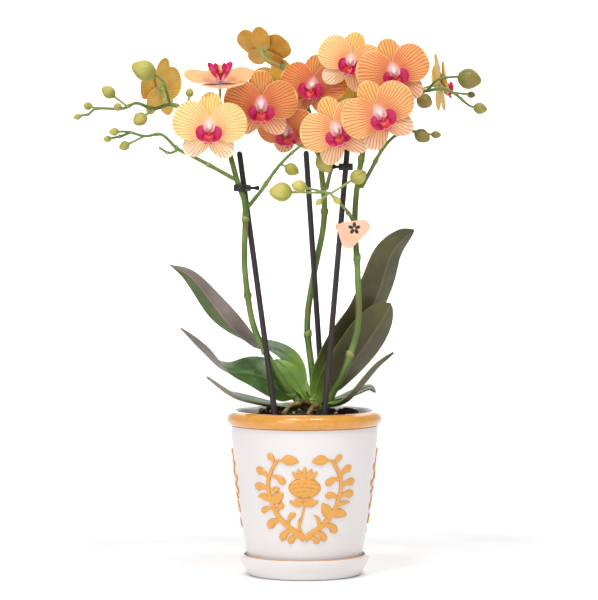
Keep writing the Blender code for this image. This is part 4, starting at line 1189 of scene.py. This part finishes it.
class ORCHID_OT_bark(bpy.types.Operator):
    """Nursery pot with bark chips, moss and crumbs of perlite"""

    bl_idname = "orchid.bark"
    bl_label = "Bark and Nursery Pot"

    def execute(self, context):
        sizes = context.scene.orchid
        rng = random.Random(BARK_SEED)
        pot = Skin()
        add_turned(pot, nursery_profile(), sizes.round_sides, False, lambda k: 0)
        plastic = plastic_paint("nursery_brown", srgb(58, 40, 32), srgb(92, 68, 54), 0.42)
        pot.finish("nursery_pot_moulded", [plastic], ["nursery_pot"], 40)
        paints = [bark_paint("bark_dark", srgb(30, 18, 12), srgb(96, 66, 44)),
                  bark_paint("bark_brown", srgb(74, 46, 26), srgb(150, 108, 70)),
                  moss_paint("moss_green"), perlite_paint("perlite_white")]
        heap = Skin()
        add_heap(heap)
        scatter_chips(heap, rng, sizes.chip_count)
        scatter_moss(heap, rng)
        scatter_perlite(heap, rng)
        for x, y, size in LUMPS:
            add_chip(heap, rng, Vector((x, y, bark_height(x, y) + size * 0.35)), size, 0, 0.75)
        heap.finish("potting_bark_chips", paints, ["potting_bark"], 35)
        return {"FINISHED"}


CROWN_LINE = [(4, 0, -8), (4, 0, 0), (5, 0, 5), (5, 0, 9)]
ROOT_ARCH = (6.0, 5.0, 1.0, 1.0)    # how far each root arches up from the bark


class ORCHID_OT_crown(bpy.types.Operator):
    """Short crown that the leaves grow from, and the roots on the bark"""

    bl_idname = "orchid.crown"
    bl_label = "Crown and Roots"

    def execute(self, context):
        base = Skin()
        route = smooth_route([plan(p) for p in CROWN_LINE], 16)
        radii = [CROWN_R * (1.0 - 0.25 * k / 16) + 0.35 * math.sin(k * 1.9) for k in range(17)]
        radii[-1] = 1.2
        add_tube(base, route, radii, 24, 0)
        for number, places in enumerate(ROOTS):
            line = smooth_route([plan((x, y, 0)) for x, y in places], 26)
            for k, p in enumerate(line):
                arch = ROOT_ARCH[number] * math.sin(math.pi * k / 26)
                wave = 0.6 * math.sin(k * 0.55 + number)
                p.z = bark_height(p.x, p.y) + ROOT_R + ROOT_LIFT * 0.4 - wave + arch
            thick = [ROOT_R * (1.0 - 0.25 * k / 26) * (1 + 0.16 * math.sin(k * 1.1 + number * 2))
                     for k in range(27)]
            thick[-1] *= 0.35
            add_tube(base, line, thick, 14, 1)
        paints = [crown_paint("crown_green"), root_paint("root_brown")]
        base.finish("crown_with_roots", paints, ["crown_and_roots"])
        return {"FINISHED"}


# ---- Leaves --------------------------------------------------------------------------------------
SHEATH_FOOT = (5.5, 0, -1)
SHEATHED = ("leaf_left_back", "leaf_left_middle", "leaf_left_inner", "leaf_right_back", "leaf_right_front")


def leaf_half_width(t, width, point):
    """Narrow at the sheath, full in the middle; point runs from 0, a round tip, to 1, a drawn-out one."""
    full = 0.6 - 0.2 * point
    shoulder = 0.3 + 0.7 * math.sin(min(t / (full - 0.05), 1.0) * math.pi / 2)
    past = max((t - full) / (1 - full), 0.0)
    tip = max(1 - past ** (2.4 - 0.9 * point), 0.0) ** (0.5 + 0.45 * point)
    return max(width / 2 * shoulder * tip, 0.35)


def add_leaf(skin, sheathed, route, width, point, face_base, face_tip, tone):
    """A strap leaf: a shallow V across with a sunken midrib, folded into a sheath at the crown."""
    steps, across = 56, 22
    spans = len(route) - 1
    points = [plan(p) for p in route]
    line = smooth_route([plan(SHEATH_FOOT)] + points if sheathed else points, steps)
    front, back, marks = [], [], []
    for k, (centre, tangent) in enumerate(zip(line, directions(line))):
        t = k / steps
        if sheathed:
            t = (t * (spans + 1) - 1) / spans
        face = Vector(face_base).lerp(Vector(face_tip), max(t, 0.0))
        face = (face - tangent * face.dot(tangent)).normalized()
        side = tangent.cross(face)
        fresh = max(ease(t, 0.34, -0.02), 0.5 * (width < 15 and sheathed))
        half = leaf_half_width(max(t, 0.0), width, point) * (1 + 0.5 * min(t, 0.0))
        fold = 0.16 + 0.5 * ease(t, 0.2, -0.1)
        rows = ([], [])
        for n in range(across + 1):
            s = 2 * n / across - 1
            groove = 0.7 * math.exp(-(s / 0.07) ** 2)
            wave = 0.7 * math.sin(t * 11 + 2 * s) * abs(s) ** 2 * (half / width)
            level = abs(s) ** 1.3 * fold * half + wave
            thick = LEAF_THICK * (1 - 0.8 * abs(s) ** 1.6) * (1 - 0.5 * ease(t, 0.8, 1.0))
            rows[0].append(centre + side * half * s + face * (level + thick * 0.3 - groove))
            rows[1].append(centre + side * half * s + face * (level - thick * 0.7 - groove * 0.8))
        front.append(rows[0])
        back.append(rows[1])
        marks.append([(2 * n / across - 1, t, tone, fresh) for n in range(across + 1)])
    skin.sheet(front, back, marks)


class ORCHID_OT_leaves(bpy.types.Operator):
    """The eight strap leaves"""

    bl_idname = "orchid.leaves"
    bl_label = "Leaves"

    def execute(self, context):
        sizes = context.scene.orchid
        paints = [leaf_upper_paint("leaf_green", tuple(sizes.leaf_green)),
                  leaf_under_paint("leaf_underside", tuple(sizes.leaf_under))]
        for name, form in LEAVES.items():
            leaf = Skin()
            add_leaf(leaf, name in SHEATHED, *form, 0.0 if "left" in name else 1.0)
            leaf.finish(f"{name}_blade", paints, [name])
        return {"FINISHED"}


# ---- Stems ---------------------------------------------------------------------------------------
def add_stem(skin, line, radius, tip_r, joints):
    """A stem that swells at each joint, with a dry bract above it."""
    last = len(line) - 1
    length = sum((b - a).length for a, b in zip(line, line[1:]))
    radii = []
    for k in range(last + 1):
        t = k / last
        swell = sum(math.exp(-(((t - j) * length) / 1.9) ** 2) for j in joints)
        radii.append((radius + (tip_r - radius) * t) * (1 + 0.2 * min(swell, 1.0)))
    add_tube(skin, line, radii, 16, 0)
    cross = frames_along(line)
    for number, joint in enumerate(joints):
        add_bract(skin, line, cross, int(joint * last), radii, number)


def add_bract(skin, line, cross, k, radii, number):
    """A papery scale that hugs the stem and ends in a point."""
    tall, wide = 6, 10
    reach = max(1.7 * radii[k], 1.8)
    way = (line[min(k + 1, len(line) - 1)] - line[k]).normalized()
    side, up = cross[k]
    front, back, marks = [], [], []
    for row in range(tall + 1):
        v = row / tall
        spread = math.radians(150) * (1 - v ** 1.5) + 0.04
        outer, inner, mark = [], [], []
        for n in range(wide + 1):
            s = 2 * n / wide - 1
            a = number * 2.4 + s * spread
            out = side * math.cos(a) + up * math.sin(a)
            centre = line[k] + way * reach * (v - 0.15)
            outer.append(centre + out * (radii[k] * (1.04 + 0.08 * v) + 0.25))
            inner.append(centre + out * (radii[k] * (0.98 + 0.08 * v) + 0.02))
            mark.append((s, v, 0.0, 0.0))
        front.append(outer)
        back.append(inner)
        marks.append(mark)
    skin.sheet(front, back, marks, (2, 2))


def add_bud(skin, middle, axis, length, width, tone):
    """A plump bud with three seams and a small point."""
    tall, round_ = 16, 30
    side = axis.orthogonal().normalized()
    up = axis.cross(side)
    rows, marks = [], []
    for k in range(tall + 1):
        v = k / tall
        body = math.sin(math.pi * (0.04 + 0.92 * v) ** 0.86) ** 0.72
        row, mark = [], []
        for n in range(round_):
            a = math.tau * n / round_
            seam = math.exp(-(math.sin(a * 1.5) / 0.16) ** 2) * ease(v, 0.25, 0.6)
            r = width / 2 * body * (1 - 0.06 * seam + 0.035 * math.cos(3 * a) * v)
            out = side * math.cos(a) + up * math.sin(a)
            row.append(middle + axis * (v - 0.5) * length + out * max(r, 0.1))
            mark.append((n / round_, v, tone, seam))
        rows.append(row)
        marks.append(mark)
    skin.grid(rows, marks, 1, wrap=True, caps=True)


def blossom_axes(azimuth, elevation, roll):
    """Facing, upward and rightward directions of a blossom, all in degrees."""
    az, el, turn = (math.radians(v) for v in (azimuth, elevation, roll))
    facing = Vector((math.sin(az) * math.cos(el), -math.cos(az) * math.cos(el), math.sin(el)))
    up = (Vector((0, 0, 1)) - facing * facing.z).normalized()
    right = up.cross(facing)
    turned_up = up * math.cos(turn) + right * math.sin(turn)
    turned_right = right * math.cos(turn) - up * math.sin(turn)
    return facing, turned_up, turned_right


def bend_to(start, end, arrive, steps=14):
    """A route that leaves a stem and bends to arrive along a direction."""
    control = end - arrive * (end - start).length * 0.45
    return [start * (1 - t) ** 2 + control * 2 * t * (1 - t) + end * t * t
            for t in (k / steps for k in range(steps + 1))]


STEM_SEED = 11


class ORCHID_OT_stems(bpy.types.Operator):
    """Flower spikes and branches with their joints, bracts, buds and stalks"""

    bl_idname = "orchid.stems"
    bl_label = "Stems and Buds"

    def execute(self, context):
        paints = [stem_paint("stem_green"), bud_paint("bud_green"), bract_paint("bract_dry")]
        rng = random.Random(STEM_SEED)
        spike_lines = [smooth_route([plan(p) for p in route], 110) for route in SPIKES.values()]
        for name, route in {**SPIKES, **BRANCHES}.items():
            stem = Skin()
            spike = name in SPIKES
            points = [plan(p) for p in route]
            line = smooth_route(points, 110 if spike else 60)
            lines = [line]
            foot = plan(SPIKE_FOOT) if spike else nearest_point(spike_lines, points[0])
            rooted = [foot.lerp(line[0], k / 8) for k in range(8)] + line
            radii = (SPIKE_R, SPIKE_TIP_R) if spike else (BRANCH_R, BRANCH_TIP_R)
            add_stem(stem, rooted, *radii, JOINTS[name])
            for fork in FORKS.get(name, []):
                points = [plan(p) for p in fork]
                points[0] = nearest_point([line], points[0])
                lines.append(smooth_route(points, 24))
                add_stem(stem, lines[-1], STALK_R * 1.25, STALK_R, (0.55,))
            for centre, length, width, start in BUDS.get(name, []):
                root, middle = nearest_point(lines, plan(start)), plan(centre)
                axis = (middle - root).normalized()
                line_to = bend_to(root, middle - axis * length * 0.42, axis, 10)
                thick = [STALK_R * (1.0 + 0.25 * (k / 10) ** 3) for k in range(11)]
                add_tube(stem, line_to, thick, 12, 0, 0.45)
                add_bud(stem, middle, axis, length, width, BUD_RIPENESS[name] + rng.uniform(-0.15, 0.15))
            for hub, azimuth, elevation, roll, _, _, carrier, start, _ in BLOSSOMS:
                if carrier == name:
                    facing = blossom_axes(azimuth, elevation, roll)[0]
                    back = plan(hub) - facing * (TEPAL_HALF + 0.2)
                    stalk = bend_to(nearest_point(lines, plan(start)), back, facing)
                    thick = [STALK_R * (1.0 + 0.5 * (k / 14) ** 4) for k in range(15)]
                    add_tube(stem, stalk, thick, 12, 0, 0.8)
            stem.finish(f"{name}_stem", paints, [name])
        return {"FINISHED"}


# ---- Blossoms ------------------------------------------------------------------------------------
def tepal_half(v, half, petal):
    """Half width along a tepal: a narrow claw, then an oval; petals are broader before the middle."""
    widest, claw = (0.56, 0.15) if petal else (0.52, 0.30)
    if v < widest:
        rise = math.sin(v / widest * math.pi / 2) ** (0.85 if petal else 0.95)
        return half * (claw + (1 - claw) * rise)
    return half * math.sqrt(max(1 - ((v - widest) / (1 - widest)) ** 2.1, 0.0)) + 0.06


def tepal_level(u, v, petal, phase):
    """How far a tepal stands forward of its blossom's plane."""
    ripple = 0.55 * abs(u) ** 2 * math.sin(v * 9 + phase) + 0.35 * v ** 2 * math.sin(u * 4 + phase)
    if petal:
        bowl = 1.3 * math.sin(v * math.pi * 0.8) - 2.6 * v ** 3 - 0.9 * u * u * v
        return 0.55 + bowl + ripple - 0.35 * math.exp(-(u / 0.1) ** 2) * (1 - v)
    fold = -0.6 * u * u - 1.7 * v ** 2
    return -0.35 + fold + 0.6 * ripple - 0.3 * math.exp(-(u / 0.12) ** 2) * (1 - v)


def add_tepal(skin, hub, axes, tepal, size, cup, kind_tone, phase, rows):
    """One sepal or petal: a thin closed sheet whose marks hold the fan of its veins."""
    angle, length, half, petal, _ = tepal
    facing, up, right = axes
    a = math.radians(angle)
    out = up * math.cos(a) + right * math.sin(a)
    side = right * math.cos(a) - up * math.sin(a)
    wide = 18
    front, back, marks = [], [], []
    for k in range(rows + 1):
        v = 1 - (1 - k / rows) ** 1.6
        w = tepal_half(v, half, petal)
        fronts, backs, mark = [], [], []
        for n in range(wide + 1):
            u = math.sin(math.pi / 2 * (2 * n / wide - 1))
            y = v * length - 0.10 * length * (1 - v) * u * u + 1.1
            place = hub + (out * y + side * u * w) * size
            level = tepal_level(u, v, petal, phase) + cup * v * v
            fronts.append(place + facing * level)
            backs.append(place + facing * (level - 0.5 + 0.3 * abs(u) ** 3))
            fan = u * w / (max(y, 0) + FAN_START) ** FAN_POWER
            mark.append((fan, v, kind_tone, max(abs(u) ** 1.5, v)))
        front.append(fronts)
        back.append(backs)
        marks.append(mark)
    skin.sheet([row[::-1] for row in front], [row[::-1] for row in back], [row[::-1] for row in marks])


class ORCHID_OT_blossoms(bpy.types.Operator):
    """The fourteen blossoms, each with three sepals and two petals"""

    bl_idname = "orchid.blossoms"
    bl_label = "Blossoms"

    def execute(self, context):
        sizes = context.scene.orchid
        face = petal_paint("petal_face", tuple(sizes.petal_cream), tuple(sizes.petal_apricot),
                           tuple(sizes.petal_vein))
        paints = [face, petal_back_paint("petal_back")]
        for number, (hub, azimuth, elevation, roll, size, cup, _, _, depth_and_shade) in enumerate(BLOSSOMS, 1):
            axes = blossom_axes(azimuth, elevation, roll)
            rng = random.Random(number)
            blossom = Skin()
            for tepal in TEPALS:
                kind = 0 if tepal[3] else (1 if tepal[0] == 0 else 2)
                # The tone takes the blossom's depth of colour, which is partly its own apricot and partly
                # painted shade on blossoms deep among the others.
                tone = kind + min(depth_and_shade, 0.95)
                wave = rng.uniform(0, 6)
                add_tepal(blossom, plan(hub), axes, tepal, size, cup, tone, wave, sizes.tepal_rows)
            blossom.finish(f"blossom_{number:02d}_tepals", paints, [f"blossom_{number:02d}"])
        return {"FINISHED"}


def lobe(skin, place, spine, half, lean, slot, steps=10, wide=10):
    """A cupped lobe along a spine of (right, up, forward) points; lean moves its edges forward."""
    line = smooth_route([Vector(p) for p in spine], steps)
    front, back, marks = [], [], []
    for k, (centre, way) in enumerate(zip(line, directions(line))):
        v = k / steps
        across = way.cross(Vector((0, 0, 1))).normalized()
        out = across.cross(way).normalized()
        w = max(half * math.sin(math.pi * (0.08 + 0.9 * v) ** 0.9) ** 0.75, 0.15)
        fronts, backs, mark = [], [], []
        for n in range(wide + 1):
            u = 2 * n / wide - 1
            p = centre + across * w * u + out * lean * w * u * u
            fronts.append(place(p + out * 0.28))
            backs.append(place(p - out * 0.28))
            mark.append((u, v, 0.0, abs(u)))
        front.append(fronts)
        back.append(backs)
        marks.append(mark)
    skin.sheet([row[::-1] for row in front], [row[::-1] for row in back], [row[::-1] for row in marks],
               (slot, slot))


def add_lip(skin, hub, axes, size, reach):
    """Lip and column: two cupped side lobes, a pointed middle lobe, a callus and the pale column."""
    facing, up, right = axes

    def place(p):
        return hub + (right * p.x + up * p.y + facing * p.z * reach) * size

    for side in (1, -1):
        lobe(skin, place, [(side * 1.4, -6.2, 1.4), (side * 4.4, -5.6, 3.2), (side * 6.1, -2.0, 4.8),
                           (side * 4.6, 1.6, 5.6)], 3.9, 0.6, 0)
        lobe(skin, place, [(side * 0.5, -10.2, 5.0), (side * 1.5, -11.2, 5.8), (side * 2.3, -10.8, 6.4),
                           (side * 2.4, -9.9, 6.4)], 0.4, 0.1, 0, 6, 4)
    lobe(skin, place, [(0, -4.4, 2.4), (0, -6.2, 4.2), (0, -8.4, 5.0), (0, -10.6, 4.8)], 3.1, 0.4, 1)
    callus = smooth_route([place(Vector(p)) for p in ((0, -3.4, 1.4), (0, -4.6, 3.4), (0, -6.0, 4.6))], 8)
    add_tube(skin, callus, [r * size for r in (0.9, 1.3, 1.6, 1.7, 1.65, 1.5, 1.2, 0.8, 0.3)], 14, 1)
    column = smooth_route([place(Vector(p)) for p in ((0, 1.6, -0.3), (0, 1.4, 1.6), (0, 0.2, 3.2),
                                                      (0, -1.8, 4.2))], 10)
    thick = (2.6, 2.65, 2.6, 2.5, 2.4, 2.3, 2.15, 1.9, 1.55, 1.05, 0.35)
    add_tube(skin, column, [r * size for r in thick], 18, 2)


class ORCHID_OT_lips(bpy.types.Operator):
    """Lip and column in the middle of each blossom"""

    bl_idname = "orchid.lips"
    bl_label = "Lips"

    def execute(self, context):
        sizes = context.scene.orchid
        paints = [lip_paint("lip_magenta", tuple(sizes.lip_magenta)), callus_paint("lip_callus"),
                  column_paint("column_white")]
        for number, (hub, azimuth, elevation, roll, size, cup, _, _, _) in enumerate(BLOSSOMS, 1):
            lip = Skin()
            add_lip(lip, plan(hub), blossom_axes(azimuth, elevation, roll), size, 1 + 0.18 * cup)
            lip.finish(f"lip_{number:02d}_lobes", paints, [f"lip_{number:02d}"])
        return {"FINISHED"}


# ---- Stakes, clips and tag -----------------------------------------------------------------------
CLIP_LEFT_Z = 160
CLIP_RIGHT_Z = 175
CLIP_HEIGHT = 5.0


def stake_ends(name):
    top, entry = (plan(p) for p in STAKES[name])
    return top, entry


def point_on(first, last, z):
    return first.lerp(last, (z - first.z) / (last.z - first.z))


def at_height(line, z):
    """Where a route that climbs passes a height."""
    low = max(k for k, p in enumerate(line) if p.z <= z)
    return point_on(line[low], line[low + 1], z)


def add_stake(skin, top, entry):
    """A ribbed bar with rounded ends, pushed into the bark."""
    way = (entry - top).normalized()
    foot = entry + way * STAKE_DEPTH
    length = (foot - top).length
    line, radii = [], []
    for k in range(61):
        ends = [0.0, 0.3, 0.9, 2.0]
        middle = 2.0 + (length - 4.0) * (k - 3) / 54
        along = ends[k] if k < 4 else (length - ends[60 - k] if k > 56 else middle)
        near = min(along, length - along)
        line.append(top + way * along)
        radii.append(STAKE_R * math.sqrt(max(1 - max(1 - near / STAKE_R, 0) ** 2, 0.02)))
    rows, marks = [], []
    for centre, (side, up), radius in zip(line, frames_along(line), radii):
        rows.append(ring(centre, side, up, radius, 40, lambda a: 1 + 0.035 * math.cos(a * 10)))
        marks.append([(n / 40, 0.0, 0.0, 0.0) for n in range(40)])
    skin.grid(rows, marks, 0, wrap=True, caps=True)


def oval_loop(first, second, radius, z, steps=16):
    """A loop around two upright bars at a height above their middles."""
    across = second - first
    start = math.atan2(across.y, across.x)
    loop = []
    for middle, turn in ((second, start - math.pi / 2), (first, start + math.pi / 2)):
        for k in range(steps):
            a = turn + math.pi * (k + 0.25) / (steps - 0.5)
            loop.append(middle + Vector((math.cos(a) * radius, math.sin(a) * radius, z)))
    return loop


def add_band(skin, first, second, inner_r, wall, height, slot=0):
    """A clip's band with rounded edges."""
    soft = 0.3
    half = height / 2
    section = [(0, -half + soft), (soft, -half), (wall - soft, -half), (wall, -half + soft),
               (wall, half - soft), (wall - soft, half), (soft, half), (0, half - soft)]
    loops = [oval_loop(first, second, inner_r + r, z) for r, z in section]
    start, sides = len(skin.points), len(loops[0])
    skin.points += [p for loop in loops for p in loop]
    skin.marks += [(0.0, 0.0, 0.0, 0.0)] * (len(loops) * sides)
    for k in range(len(loops)):
        low, high = start + k * sides, start + (k + 1) % len(loops) * sides
        for n in range(sides):
            m = (n + 1) % sides
            skin.faces.append((low + m, low + n, high + n, high + m))
            skin.slots.append(slot)


def add_handle(skin, start, out, length, height, thick, slot=0):
    """A clip's finger tab: a flat bar that widens into a ribbed end."""
    side = Vector((0, 0, 1)).cross(out).normalized()
    rows = []
    for k in range(13):
        t = k / 12
        tall = height * (0.7 + 0.45 * ease(t, 0.45, 0.8)) * (1 - 0.55 * ease(t, 0.93, 1.0))
        ribbed = (1 + 0.18 * math.cos(k * math.pi)) * (1 - 0.5 * (k == 12))
        deep = thick * (1 + 0.9 * ease(t, 0.5, 0.75)) * ribbed
        centre = start + out * length * t
        row = []
        for n in range(16):
            a = math.tau * n / 16
            c, s = math.cos(a), math.sin(a)
            row.append(centre + side * math.copysign(abs(c) ** 0.5, c) * deep / 2
                       + Vector((0, 0, math.copysign(abs(s) ** 0.5, s) * tall / 2)))
        rows.append(row)
    skin.grid(rows, [[(0.0, 0.0, 0.0, 0.0)] * 16 for _ in rows], slot, wrap=True, caps=True)


class ORCHID_OT_stakes(bpy.types.Operator):
    """Support stakes and the clips that hold the spikes to them"""

    bl_idname = "orchid.stakes"
    bl_label = "Stakes and Clips"

    def execute(self, context):
        brown = plastic_paint("stake_brown", srgb(34, 25, 27), srgb(66, 52, 54), 0.42)
        black = plastic_paint("clip_black", srgb(20, 20, 22), srgb(48, 46, 48), 0.36, (1, 1, 1))
        for name in STAKES:
            bar = Skin()
            add_stake(bar, *stake_ends(name))
            bar.finish(f"{name}_ribbed", [brown], [name])
        out = Vector((1, 0.1, 0)).normalized()
        left = Skin()
        z = BARK_TOP + CLIP_LEFT_Z
        by_stake = point_on(*stake_ends("stake_left"), z)
        by_spike = at_height(smooth_route([plan(p) for p in SPIKES["spike_left"]], 12), z)
        inner_r = max(STAKE_R, SPIKE_R) + GAP + 0.7
        add_band(left, by_stake, by_spike, inner_r, CLIP_WALL, CLIP_HEIGHT)
        add_handle(left, by_stake + out * (inner_r + 0.5), out, 7.0, CLIP_HEIGHT * 0.6, 1.2)
        left.finish("clip_left_moulded", [black], ["clip_left"], 45)
        right = Skin()
        middle = point_on(*stake_ends("stake_right"), BARK_TOP + CLIP_RIGHT_Z)
        reach = Vector((1.2, 1.2, 0))
        add_band(right, middle - reach, middle + reach, STAKE_R + GAP + 0.5, CLIP_WALL, CLIP_HEIGHT)
        edge = middle - out * (STAKE_R + GAP + 0.5 + CLIP_WALL - 0.7)
        add_handle(right, edge, -out, 7.0, CLIP_HEIGHT * 0.6, 1.2)
        right.finish("clip_right_moulded", [black], ["clip_right"], 45)
        return {"FINISHED"}


def tag_outline(width, per_corner=12):
    """Pebble shape: three corners of one radius, joined by straight edges."""
    corner_r = width * TAG_CORNER_R
    turns = [math.radians(a) for a, _ in TAG_CORNERS]
    corners = [Vector((math.cos(a), 0, math.sin(a))) * width * reach
               for a, (_, reach) in zip(turns, TAG_CORNERS)]
    outline = []
    for n, here in enumerate(corners):
        before, after = here - corners[n - 1], corners[(n + 1) % 3] - here
        start = math.atan2(before.z, before.x) - math.pi / 2
        sweep = (math.atan2(after.z, after.x) - math.pi / 2 - start) % math.tau
        for k in range(per_corner):
            a = start + sweep * k / (per_corner - 1)
            outline.append(here + Vector((math.cos(a), 0, math.sin(a))) * corner_r)
    return outline


def add_plate(skin, outline, centre, thick, soft, slot):
    """A flat plate that faces the front, with softened edges and full faces."""
    levels = [(soft, -thick / 2), (0.0, -thick / 2 + soft), (0.0, thick / 2 - soft), (soft, thick / 2)]
    rows = []
    for inset, y in levels:
        rows.append([centre + p - p.normalized() * inset + Vector((0, y, 0)) for p in outline])
    skin.grid(rows, [[(p.x, p.z, 0.0, 0.0) for p in outline] for _ in rows], slot, wrap=True, caps=True)


class ORCHID_OT_tag(bpy.types.Operator):
    """Plain peach tag with a small plain flower mark"""

    bl_idname = "orchid.tag"
    bl_label = "Tag"

    def execute(self, context):
        z = BARK_TOP + TAG_Z
        middle = point_on(*stake_ends("stake_right"), z)
        hold_r = STAKE_R + GAP + 0.2
        held = point_on(*stake_ends("stake_right"), z + TAG_HOLD_RISE)
        tag = Skin()
        nudge = Vector((0.1, 0, 0))
        add_band(tag, held - nudge, held + nudge, hold_r, CLIP_WALL, TAG_HOLD_HEIGHT)
        centre = Vector((middle.x + TAG_WIDTH * TAG_SHIFT, held.y - hold_r - CLIP_WALL * 0.6, z))
        add_plate(tag, tag_outline(TAG_WIDTH), centre, TAG_THICK, 0.2, 0)
        mark_at = centre + Vector((0.5, -TAG_THICK / 2, 2.2))
        for n in range(5):
            a = math.tau * n / 5 + math.pi / 2
            out = Vector((math.cos(a), 0, math.sin(a)))
            side = Vector((-math.sin(a), 0, math.cos(a)))
            petal = [out * (2.6 + 1.9 * math.cos(t)) + side * 1.25 * math.sin(t)
                     for t in (math.tau * k / 14 for k in range(14))]
            add_plate(tag, petal, mark_at, 0.16, 0.03, 1)
        paints = [plastic_paint("tag_peach", srgb(238, 188, 156), srgb(246, 200, 170), 0.45, (1, 1, 1)),
                  plastic_paint("tag_mark", srgb(44, 34, 32), srgb(70, 56, 50), 0.5, (1, 1, 1))]
        tag.finish("label_tag_plain", paints, ["label_tag"], 45)
        return {"FINISHED"}


# ---- Stage ---------------------------------------------------------------------------------------
CAMERA_PLACE = (-4.0, -2100.0, 272.0)
CAMERA_AIM = (-4.0, 0.0, 198.0)
CAMERA_LENS = 175.1


def aim(item, place, target):
    item.location = Vector(place) * METRES
    item.rotation_euler = (Vector(target) - Vector(place)).to_track_quat("-Z", "Y").to_euler()


SWEEP_REACH = 4600.0
SWEEP_BEND = 700.0
SWEEP_HEIGHT = 3200.0
AIR_LIGHT = 0.47
HEAD = (0, 0, 200)
# Lamps: name, place, the place it is turned to, width and height in millimetres, watts.
LAMPS = (
    ("softbox_left", (-420, -900, 1700), HEAD, 380, 110, 10),
    ("softbox_right", (420, -900, 1700), HEAD, 380, 110, 10),
    ("softbox_front", (-900, -1700, 700), HEAD, 900, 1200, 8),
    ("backdrop_lamp", (0, SWEEP_REACH - 900, 1500), (0, SWEEP_REACH + SWEEP_BEND, 300), 3600, 500, 45),
    ("floor_lamp", (0, 2700, 2300), (0, 2701, 0), 4200, 3400, 55),
)


def add_light(name, place, target, width, height, watts):
    lamp = bpy.data.lights.new(name, "AREA")
    lamp.shape = "RECTANGLE"
    lamp.size, lamp.size_y = width * METRES, height * METRES
    lamp.energy = watts
    made = bpy.data.objects.new(name, lamp)
    bpy.context.scene.collection.objects.link(made)
    aim(made, place, target)


class ORCHID_OT_stage(bpy.types.Operator):
    """Pale floor that sweeps up behind, soft light and the camera"""

    bl_idname = "orchid.stage"
    bl_label = "Stage"

    def execute(self, context):
        scene = context.scene
        profile = [(-SWEEP_REACH, 0.0), (0.0, 0.0), (SWEEP_REACH, 0.0)]
        profile += [(SWEEP_REACH + SWEEP_BEND * math.sin(a), SWEEP_BEND - SWEEP_BEND * math.cos(a))
                    for a in (math.pi / 2 * k / 16 for k in range(1, 17))]
        profile.append((SWEEP_REACH + SWEEP_BEND, SWEEP_HEIGHT))
        sweep = Skin()
        rows = [[Vector((x, y, z)) for x in (-SWEEP_REACH, 0.0, SWEEP_REACH)] for y, z in profile]
        sweep.grid(rows, [[(0.0, 0.0, 0.0, 0.0)] * 3 for _ in rows], 0)
        mesh = bpy.data.meshes.new("studio_sweep")
        mesh.from_pydata([p * METRES for p in sweep.points], [], sweep.faces)
        mesh.shade_smooth()
        paper = Paint("studio_paper", 0.9, 0.1)
        paper.colour(paper.mix(paper.mottle(0.01, 2), (0.96, 0.96, 0.96), (0.98, 0.98, 0.98)))
        mesh.materials.append(paper.material)
        floor = bpy.data.objects.new("studio_sweep", mesh)
        scene.collection.objects.link(floor)
        world = bpy.data.worlds.new("studio_air")
        world.use_nodes = True
        world.node_tree.nodes["Background"].inputs[0].default_value = (1.0, 1.0, 1.0, 1.0)
        world.node_tree.nodes["Background"].inputs[1].default_value = AIR_LIGHT
        scene.world = world
        for lamp in LAMPS:
            add_light(*lamp)
        scene.view_settings.view_transform = "Standard"
        camera = bpy.data.cameras.new("studio_camera")
        camera.lens = CAMERA_LENS
        camera.sensor_width = 36.0
        holder = bpy.data.objects.new("studio_camera", camera)
        scene.collection.objects.link(holder)
        aim(holder, CAMERA_PLACE, CAMERA_AIM)
        scene.camera = holder
        return {"FINISHED"}


# ---- Add-on ----------------------------------------------------------------------------------------------
OPERATORS = (ORCHID_OT_stage, ORCHID_OT_saucer, ORCHID_OT_cover_pot, ORCHID_OT_bark, ORCHID_OT_crown,
             ORCHID_OT_leaves, ORCHID_OT_stems, ORCHID_OT_blossoms, ORCHID_OT_lips, ORCHID_OT_stakes,
             ORCHID_OT_tag)


class ORCHID_PT_build(bpy.types.Panel):
    """Buttons that build the orchid's pieces"""

    bl_idname = "ORCHID_PT_build"
    bl_label = "Potted Orchid"
    bl_space_type = "VIEW_3D"
    bl_region_type = "UI"
    bl_category = "Orchid"

    def draw(self, context):
        for operator in OPERATORS:
            self.layout.operator(operator.bl_idname)
        for name in OrchidSettings.__annotations__:
            self.layout.prop(context.scene.orchid, name)


CLASSES = (OrchidSettings, *OPERATORS, ORCHID_PT_build)


def register():
    for item in CLASSES:
        bpy.utils.register_class(item)
    bpy.types.Scene.orchid = PointerProperty(type=OrchidSettings)


def unregister():
    del bpy.types.Scene.orchid
    for item in reversed(CLASSES):
        bpy.utils.unregister_class(item)


def main():
    register()
    for operator in OPERATORS:
        group, name = operator.bl_idname.split(".")
        getattr(getattr(bpy.ops, group), name)()


if __name__ == "__main__":
    main()
